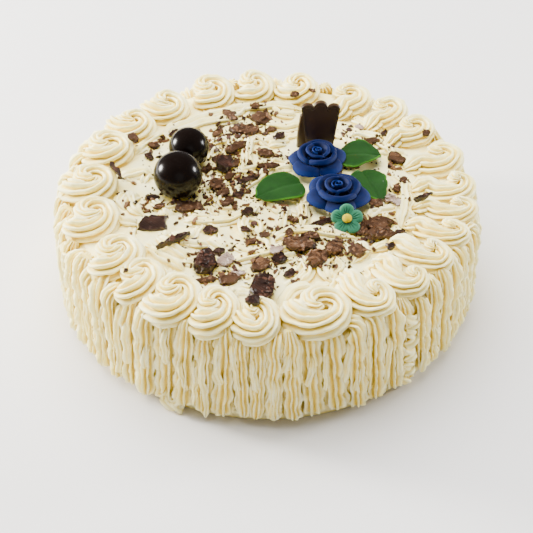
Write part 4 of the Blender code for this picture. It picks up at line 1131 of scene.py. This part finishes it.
def scatterTree():
    tree = bpy.data.node_groups.new("chocolateScatter", "GeometryNodeTree")
    groupSockets(tree, (
        ("Ground", "Geometry", None), ("Bits", "Collection", None), ("Thickness", "Float", 1000.0),
        ("Size", "Float", 1.0), ("Largest", "Float", 1.5), ("Tilt", "Float", 0.5),
        ("Keep Ground", "Bool", False), ("Seed", "Int", 0), ("Chocolate", "Material", None),
    ))
    given = addNode(tree, "NodeGroupInput").outputs
    spots = addNode(tree, "GeometryNodeDistributePointsOnFaces", {
        "Mesh": given["Ground"], "Seed": given["Seed"],
        "Density": maths(tree, "MULTIPLY", field(tree, "cover"), given["Thickness"])})
    bits = addNode(tree, "GeometryNodeCollectionInfo", {
        "Collection": given["Bits"], "Separate Children": True, "Reset Children": True})
    most = addNode(tree, "ShaderNodeCombineXYZ", {
        0: given["Tilt"], 1: given["Tilt"], 2: 3.1416}).outputs[0]
    spin = addNode(tree, "FunctionNodeRandomValue", {
        0: scaled(tree, most, -1.0), 1: most, "Seed": given["Seed"]}, data_type="FLOAT_VECTOR")
    turned = addNode(tree, "FunctionNodeRotateRotation", {
        "Rotation": spots.outputs["Rotation"], "Rotate By": spin.outputs[0]}, rotation_space="LOCAL")
    chance = addNode(tree, "FunctionNodeRandomValue", {
        2: 0.0, 3: 1.0, "Seed": given["Seed"]}, data_type="FLOAT")
    size = addNode(tree, "ShaderNodeMapRange", {  # squared, so that small bits are the most
        "Value": maths(tree, "POWER", chance.outputs[1], 2.0),
        "To Min": given["Size"], "To Max": given["Largest"]})
    laid = addNode(tree, "GeometryNodeInstanceOnPoints", {
        "Points": spots.outputs["Points"], "Instance": bits.outputs[0], "Pick Instance": True,
        "Rotation": turned.outputs[0], "Scale": size.outputs[0]})
    tone = addNode(tree, "FunctionNodeRandomValue", {2: -0.2, 3: 0.9, "Seed": 4}, data_type="FLOAT")
    toned = addNode(tree, "GeometryNodeStoreNamedAttribute", {
        "Geometry": laid.outputs[0], "Name": "tone", "Value": tone.outputs[1]},
        data_type="FLOAT", domain="INSTANCE")
    kept = addNode(tree, "GeometryNodeSwitch", {
        "Switch": given["Keep Ground"], "True": given["Ground"]}, input_type="GEOMETRY")
    whole = addNode(tree, "GeometryNodeJoinGeometry")
    tree.links.new(kept.outputs[0], whole.inputs[0])
    tree.links.new(toned.outputs[0], whole.inputs[0])
    closeTree(tree, whole.outputs[0], given["Chocolate"])
    return tree


shards = {  # node and how thickly small plates lie on it
    "dark": (("shard_left", 0.02), ("stick_left", 0.08), ("block_front", 0.22), ("block_front_left", 0.22),
             ("block_middle", 0.15), ("stick_border_left", 0.0), ("stick_border_right", 0.04)),
    "milk": (("curl_upper_left", 0.1), ("flat_front_left", 0.15), ("curl_front_mid", 0.2),
             ("flake_right_a", 0.28), ("flake_right_b", 0.28), ("flake_right_c", 0.3), ("flat_right", 0.2),
             ("flake_right_edge", 0.2), ("flake_right_edge_back", 0.2), ("flat_middle_left", 0.18),
             ("splinter_middle", 0.08), ("flat_back", 0.18), ("flat_back_upper", 0.15),
             ("flake_far_right", 0.1)),
    "cut": 2.2, "cuts": 5, "rough": 1.5, "roughLength": 3.0, "flatShare": 0.05, "perSquareMetre": 6e5,
    "size": 0.6, "largest": 1.3, "tilt": 0.45, "seed": 31, "faceUp": 0.25, "tone": 0.6, "toneLength": 6,
}


def tearEdges(work, seed, rough):  # ragged outline, faces left fairly flat
    spots = np.array([tuple(v.co / mm) for v in work.verts])
    _, _, axes = np.linalg.svd(spots - spots.mean(0), full_matrices=False)
    thin = Vector(axes[2])
    moved = []
    for v in work.verts:
        spot = v.co / mm
        wild = noise.noise_vector(spot / shards["roughLength"] + Vector((seed, 0, 0)))
        wild = wild - thin * wild.dot(thin) * (1 - shards["flatShare"])
        moved.append(v.co + wild * rough * mm)
    for v, spot in zip(work.verts, moved):
        v.co = spot


def coverUp(mesh, amount):  # plates lie on what faces up
    look = shards
    mark(mesh, "cover", [amount if v.normal.z > look["faceUp"] else 0.0 for v in mesh.vertices])
    mark(mesh, "tone", [max(0, look["tone"] * noise.noise(v.co / mm / look["toneLength"]))
                        for v in mesh.vertices])


def makeShards(materials, tree):
    for kind in ("dark", "milk"):
        plates = bitShapes("plates_" + kind, plateSizes, materials[kind], shards["seed"])
        for number, (node, amount) in enumerate(shards[kind]):
            work = bmesh.new()
            work.from_mesh(frame["nodes"][node].data)
            bmesh.ops.remove_doubles(work, verts=work.verts, dist=0.00002)
            for _ in range(shards["cuts"]):
                long = [e for e in work.edges if e.calc_length() > shards["cut"] * mm]
                if not long:
                    break
                bmesh.ops.subdivide_edges(work, edges=long, cuts=1)
                bmesh.ops.triangulate(work, faces=work.faces)
            tearEdges(work, number + 0.3, shards["rough"])
            for face in work.faces:
                face.smooth = False
            mesh = bpy.data.meshes.new(node + "_base")
            work.to_mesh(mesh)
            work.free()
            coverUp(mesh, amount)
            made = runTree(link(node + "_base", mesh), tree, {
                "Bits": plates, "Thickness": shards["perSquareMetre"], "Size": shards["size"],
                "Largest": shards["largest"], "Tilt": shards["tilt"], "Keep Ground": True, "Seed": number,
                "Chocolate": materials[kind]}, node + "_broken")
            dress(made, kind + "_shavings", node)
        dropShapes(plates)


flakes = {  # x, y, length, width, thickness, turn, lean, corners, kind
    "layout": (
        (-25, 79, 15, 6, 1.8, -48, 12, 6, "milk"), (-1, 40, 13, 7, 2.0, 4, 10, 6, "milk"),
        (0, 24, 14, 5, 1.8, 6, 8, 6, "milk"), (-11, 11, 17, 3.6, 1.8, 30, 6, 5, "dark"),
        (-31, 6, 12, 8, 2.2, 60, 12, 6, "milk"), (8, 55, 9, 5, 2.0, 20, 10, 5, "dark"),
        (-60, 60, 9, 5, 2.0, 68, 12, 5, "dark"), (18, 95, 6, 5, 1.6, 10, 12, 5, "milk"),
        (66, 52, 12, 5, 1.6, 16, 8, 6, "milk"), (75, 56, 6, 5, 2.0, 40, 14, 5, "dark"),
        (-34, -36, 9, 6, 2.0, -6, 10, 6, "dark"), (-28, -55, 8, 4.5, 2.0, 14, 8, 5, "dark"),
        (-13, -38, 7, 4, 2.0, -22, 8, 5, "dark"), (-12, -22, 8, 6, 2.0, 30, 12, 6, "dark"),
        (7, -61, 9, 8, 2.2, 12, 12, 6, "dark"), (13, -76, 8, 5, 2.0, 50, 14, 5, "dark"),
        (72, -58, 6, 5, 2.4, 60, 14, 5, "dark"), (75, -6, 9, 7, 1.8, 24, 12, 6, "bloom"),
        (66, -13, 10, 6, 1.8, -8, 8, 6, "milk"), (31, -29, 10, 3.6, 1.6, 22, 6, 5, "dark"),
        (-24, -65, 12, 8, 3.0, 30, 14, 6, "bloom"), (-36, -80, 15, 4, 1.8, 8, 6, 5, "milk"),
        (-8, -107, 9, 6, 2.4, -14, 10, 6, "dark"), (26, -43, 10, 6, 2.0, -20, 10, 6, "milk"),
        (79, -42, 8, 6, 2.2, 30, 12, 5, "dark"), (57, -36, 10, 8, 2.4, 50, 12, 6, "milk"),
        (-24, -11, 9, 5, 1.6, 36, 10, 5, "milk"), (-73, 48, 7, 5, 1.8, -10, 8, 5, "milk"),
        (-75, 37, 8, 5, 1.8, -50, 10, 5, "dark"), (-70, -4, 9, 4, 1.8, 0, 8, 5, "dark"),
        (-66, -15, 8, 4, 1.6, 30, 8, 5, "milk"), (-59, 48, 6, 4, 1.6, -20, 8, 5, "milk"),
        (-24, 16, 9, 6, 2.0, 50, 12, 6, "milk"), (-36, 46, 8, 5, 1.8, 60, 10, 5, "milk"),
        (-33, 62, 9, 5, 1.8, 46, 10, 5, "milk"), (60, 66, 7, 4, 1.6, -50, 10, 5, "bloom"),
        (80, 2, 6, 5, 2.0, 30, 10, 5, "milk"), (84, 10, 6, 4, 1.8, 50, 10, 5, "milk"),
        (102, 53, 6, 5, 1.8, 20, 10, 5, "milk"), (-2, -44, 8, 5, 1.8, -20, 10, 5, "milk"),
        (-9, -46, 8, 4, 1.6, 10, 8, 5, "milk"), (13, -40, 7, 5, 1.8, 70, 10, 5, "milk"),
        (30, 100, 7, 3, 1.4, -34, 8, 5, "milk"), (2, 66, 9, 4, 1.8, 10, 10, 5, "milk"),
        (-8, 88, 7, 5, 1.8, 70, 12, 5, "milk"), (-80, -82, 5, 2.6, 1.4, 60, 8, 5, "dark"),
        (37, -26, 7, 4, 1.6, 24, 8, 5, "dark"), (14, -26, 5, 4, 1.6, -40, 8, 5, "milk"),
        (-17, -75, 9, 5, 1.6, 6, 4, 6, "bloom"), (5, -57, 9, 6, 1.8, 20, 10, 6, "bloom"),
        (68, -5, 8, 6, 1.6, -30, 12, 6, "bloom"), (79, -12, 6, 5, 1.6, 10, 8, 5, "bloom"),
        (-24, 44, 10, 6, 1.6, 40, 14, 6, "milk"), (-30, 34, 11, 7, 1.8, -30, 16, 6, "milk"),
        (-20, 30, 9, 5, 1.6, 70, 12, 6, "milk"), (-28, -2, 10, 6, 1.6, 30, 12, 6, "milk"),
        (-18, -2, 8, 5, 1.6, 10, 12, 5, "dark"), (60, -30, 10, 7, 1.8, 40, 18, 6, "milk"),
        (68, -34, 10, 6, 1.8, -20, 16, 6, "milk"), (40, -48, 10, 7, 1.8, 10, 16, 6, "milk"),
        (20, -52, 11, 7, 1.8, 35, 14, 6, "milk"), (30, -60, 9, 6, 1.6, -25, 14, 6, "milk"),
    ),
    "levels": ((-0.5, 0.5), (-0.5, 1.0), (0.5, 0.93), (0.5, 0.5)),  # share of the thickness and the outline
    "sideCuts": 4, "rough": 0.8, "roughLength": 1.7, "lift": 0.5, "thinner": 0.8, "cover": 0.16,
    "perSquareMetre": 1e6, "size": 0.4, "largest": 0.8, "tilt": 0.4, "shapeSeed": 37, "seed": 50,
}


def makeFlakes(ground, materials, tree, draw):
    gathered = {"dark": [[], []], "milk": [[], []], "bloom": [[], []]}
    for number, (x, y, length, width, thick, turn, lean, corners, kind) in enumerate(flakes["layout"]):
        spin = Matrix.Rotation(math.radians(turn), 3, "Z") @ Matrix.Rotation(math.radians(lean), 3, "X")
        sides = corners * flakes["sideCuts"]
        bays = [draw.uniform(0.66, 1.08) for _ in range(corners)]
        jag = []
        for i in range(sides):
            part, k = (i % flakes["sideCuts"]) / flakes["sideCuts"], i // flakes["sideCuts"]
            jag.append(bays[k] * (1 - part) + bays[(k + 1) % corners] * part + draw.uniform(-0.1, 0.06))
        points = []
        for level, shrink in flakes["levels"]:
            for i in range(sides):
                theta, reach = 2 * math.pi * i / sides, 0.55 * jag[i] * shrink
                points.append(spin @ Vector((
                    length * reach * math.cos(theta), width * reach * math.sin(theta),
                    level * thick * flakes["thinner"])))
        lows = sorted(heightAt(ground, x + p.x * 0.8, y + p.y * 0.8) - p.z * 0.8
                      for p in points[sides:2 * sides])
        rest = lows[(3 * len(lows)) // 4] + flakes["lift"]
        allPoints, allFaces = gathered[kind]
        first = len(allPoints)
        for p in points:
            wild = noise.noise_vector(p / flakes["roughLength"] + Vector((number, 0, 0))) * flakes["rough"]
            allPoints.append(tuple(p + Vector((wild.x, wild.y, wild.z * 0.3)) + Vector((x, y, rest))))
        allFaces += ringFaces(first, sides, len(flakes["levels"]))
        allFaces.append(tuple(first + i for i in reversed(range(sides))))
        allFaces.append(tuple(first + 3 * sides + i for i in range(sides)))
    for number, (kind, (points, faces)) in enumerate(gathered.items()):
        mesh = meshFrom("flake_bases_" + kind, points, faces, smooth=False)
        coverUp(mesh, flakes["cover"])
        plates = bitShapes("plates_" + kind, plateSizes, materials[kind], flakes["shapeSeed"])
        made = runTree(link("flake_bases_" + kind, mesh), tree, {
            "Bits": plates, "Thickness": flakes["perSquareMetre"], "Size": flakes["size"],
            "Largest": flakes["largest"], "Tilt": flakes["tilt"], "Keep Ground": True,
            "Seed": flakes["seed"] + number, "Chocolate": materials[kind]}, "flakes_" + kind)
        dropShapes(plates)
        dress(made, "dark_shavings" if kind == "dark" else "milk_shavings")


crumbs = {
    "reach": 97, "grid": 1.5, "perSquareMetre": 185000, "size": 0.6, "largest": 2.8, "tilt": 0.6, "seed": 11,
    "clusters": (  # x, y, radius, thickness of the scatter
        (-28, 28, 20, 1.0), (-32, 2, 15, 1.0), (-30, 52, 14, 0.9), (-12, -8, 14, 1.0), (-40, -53, 7, 0.9),
        (0, -62, 11, 0.9), (-26, -73, 12, 0.7), (62, -37, 15, 1.2), (32, -52, 17, 1.5), (67, 55, 12, 0.8),
        (75, -5, 9, 0.8), (-6, 14, 12, 0.8), (-15, 66, 14, 0.7), (-10, -40, 14, 0.6), (82, 30, 8, 0.8),
        (-70, -5, 8, 0.7), (12, -24, 9, 0.7), (6, 40, 9, 0.6), (50, 66, 8, 0.5), (-2, 84, 9, 0.6),
        (-72, 44, 10, 0.6), (-56, -22, 10, 0.4),
    ),
    "everywhere": 0.06, "thickest": 1.3, "lift": 0.2, "steepest": 2.2, "shapeSeed": 21,
    "kinds": (("milk", 0.75), ("dark", 0.25)),
}


def makeCrumbs(ground, materials, tree):
    reach, step = crumbs["reach"], crumbs["grid"]
    count = int(2 * reach / step) + 1
    points, cover = [], []
    for i in range(count):
        for j in range(count):
            x, y = -reach + i * step, -reach + j * step
            points.append((x * mm, y * mm, (heightAt(ground, x, y) + crumbs["lift"]) * mm))
            thick = crumbs["everywhere"]
            for cx, cy, radius, weight in crumbs["clusters"]:
                thick += weight * math.exp(-(((x - cx) ** 2 + (y - cy) ** 2) / radius ** 2))
            cover.append(min(thick, crumbs["thickest"]) if x * x + y * y < reach * reach else 0)
    faces = []
    for i in range(count - 1):
        for j in range(count - 1):
            a = i * count + j
            corners = (a, a + count, a + count + 1, a + 1)
            heights = [points[v][2] for v in corners]
            if max(heights) - min(heights) < crumbs["steepest"] * mm:
                faces.append(corners)
    mesh = bpy.data.meshes.new("crumb_ground")
    mesh.from_pydata(points, [], faces)
    mark(mesh, "cover", cover)
    for number, (kind, share) in enumerate(crumbs["kinds"]):
        bits = bitShapes("bits_" + kind, crumbSizes, materials[kind], crumbs["shapeSeed"] + number)
        made = runTree(link("crumb_ground_" + kind, mesh.copy()), tree, {
            "Bits": bits, "Thickness": crumbs["perSquareMetre"] * share, "Size": crumbs["size"],
            "Largest": crumbs["largest"], "Tilt": crumbs["tilt"], "Keep Ground": False,
            "Seed": crumbs["seed"] + number, "Chocolate": materials[kind]}, "crumbs_" + kind)
        dropShapes(bits)
        dress(made, kind + "_shavings")


def main():
    makeStudio()
    print("camera, lights and floor made")

    cream = whippedCream()
    materials = {
        "dark": chocolate("snapped_dark_chocolate", darkScrape),
        "milk": chocolate("scraped_milk_chocolate", milkScrape),
        "bloom": chocolate("bloomed_chocolate_flake", bloomScrape),
    }
    tree = ropeTree()
    draw = random.Random(64)
    body = makeCore(cream)
    piped = []
    for name, look in (("border_rosettes", rosettes), ("border_shells", shells)):
        turns = [rosettePath(spec, look, draw) for spec in look["layout"]]
        piped.append(pipeRopes(name, turns, look, tree, cream))
    piped.append(pipeRopes("top_strokes", strokePaths(draw), strokes, tree, cream))
    ground = treeOf(piped + [body])
    ribs = strandPaths(draw)
    share = math.ceil(len(ribs) / strands["pieces"])
    piped += [pipeRopes("side_strands_%d" % i, ribs[i * share:(i + 1) * share], strands, tree, cream)
              for i in range(strands["pieces"])]
    piped.append(pipeRopes("side_folds", bladePaths(draw), blades, tree, cream))
    for piece in piped:
        for v in piece.data.vertices:  # the foot is flat where the cake stands
            v.co.z = max(v.co.z, 0)
        dress(piece, "whipped_cream")
    print("cream piped")

    makeBalls(chocolate("panned_dark_chocolate", shellGloss))
    makeRoses(sugarPaste("blue_marzipan_rolled", bluePaste))
    makeLeaves(sugarPaste("green_marzipan_cut", greenPaste))
    makeFlower(sugarPaste("mint_sugar_paste_pressed", mintPaste),
               sugarPaste("yellow_sugar_paste_button", yellowPaste))
    makePlaques(chocolate("moulded_dark_chocolate", mouldGloss))
    print("balls, roses, leaves, flower and plaque made")

    scatter = scatterTree()
    makeShards(materials, scatter)
    makeFlakes(ground, materials, scatter, draw)
    makeCrumbs(ground, materials, scatter)
    print("chocolate scattered")


main()
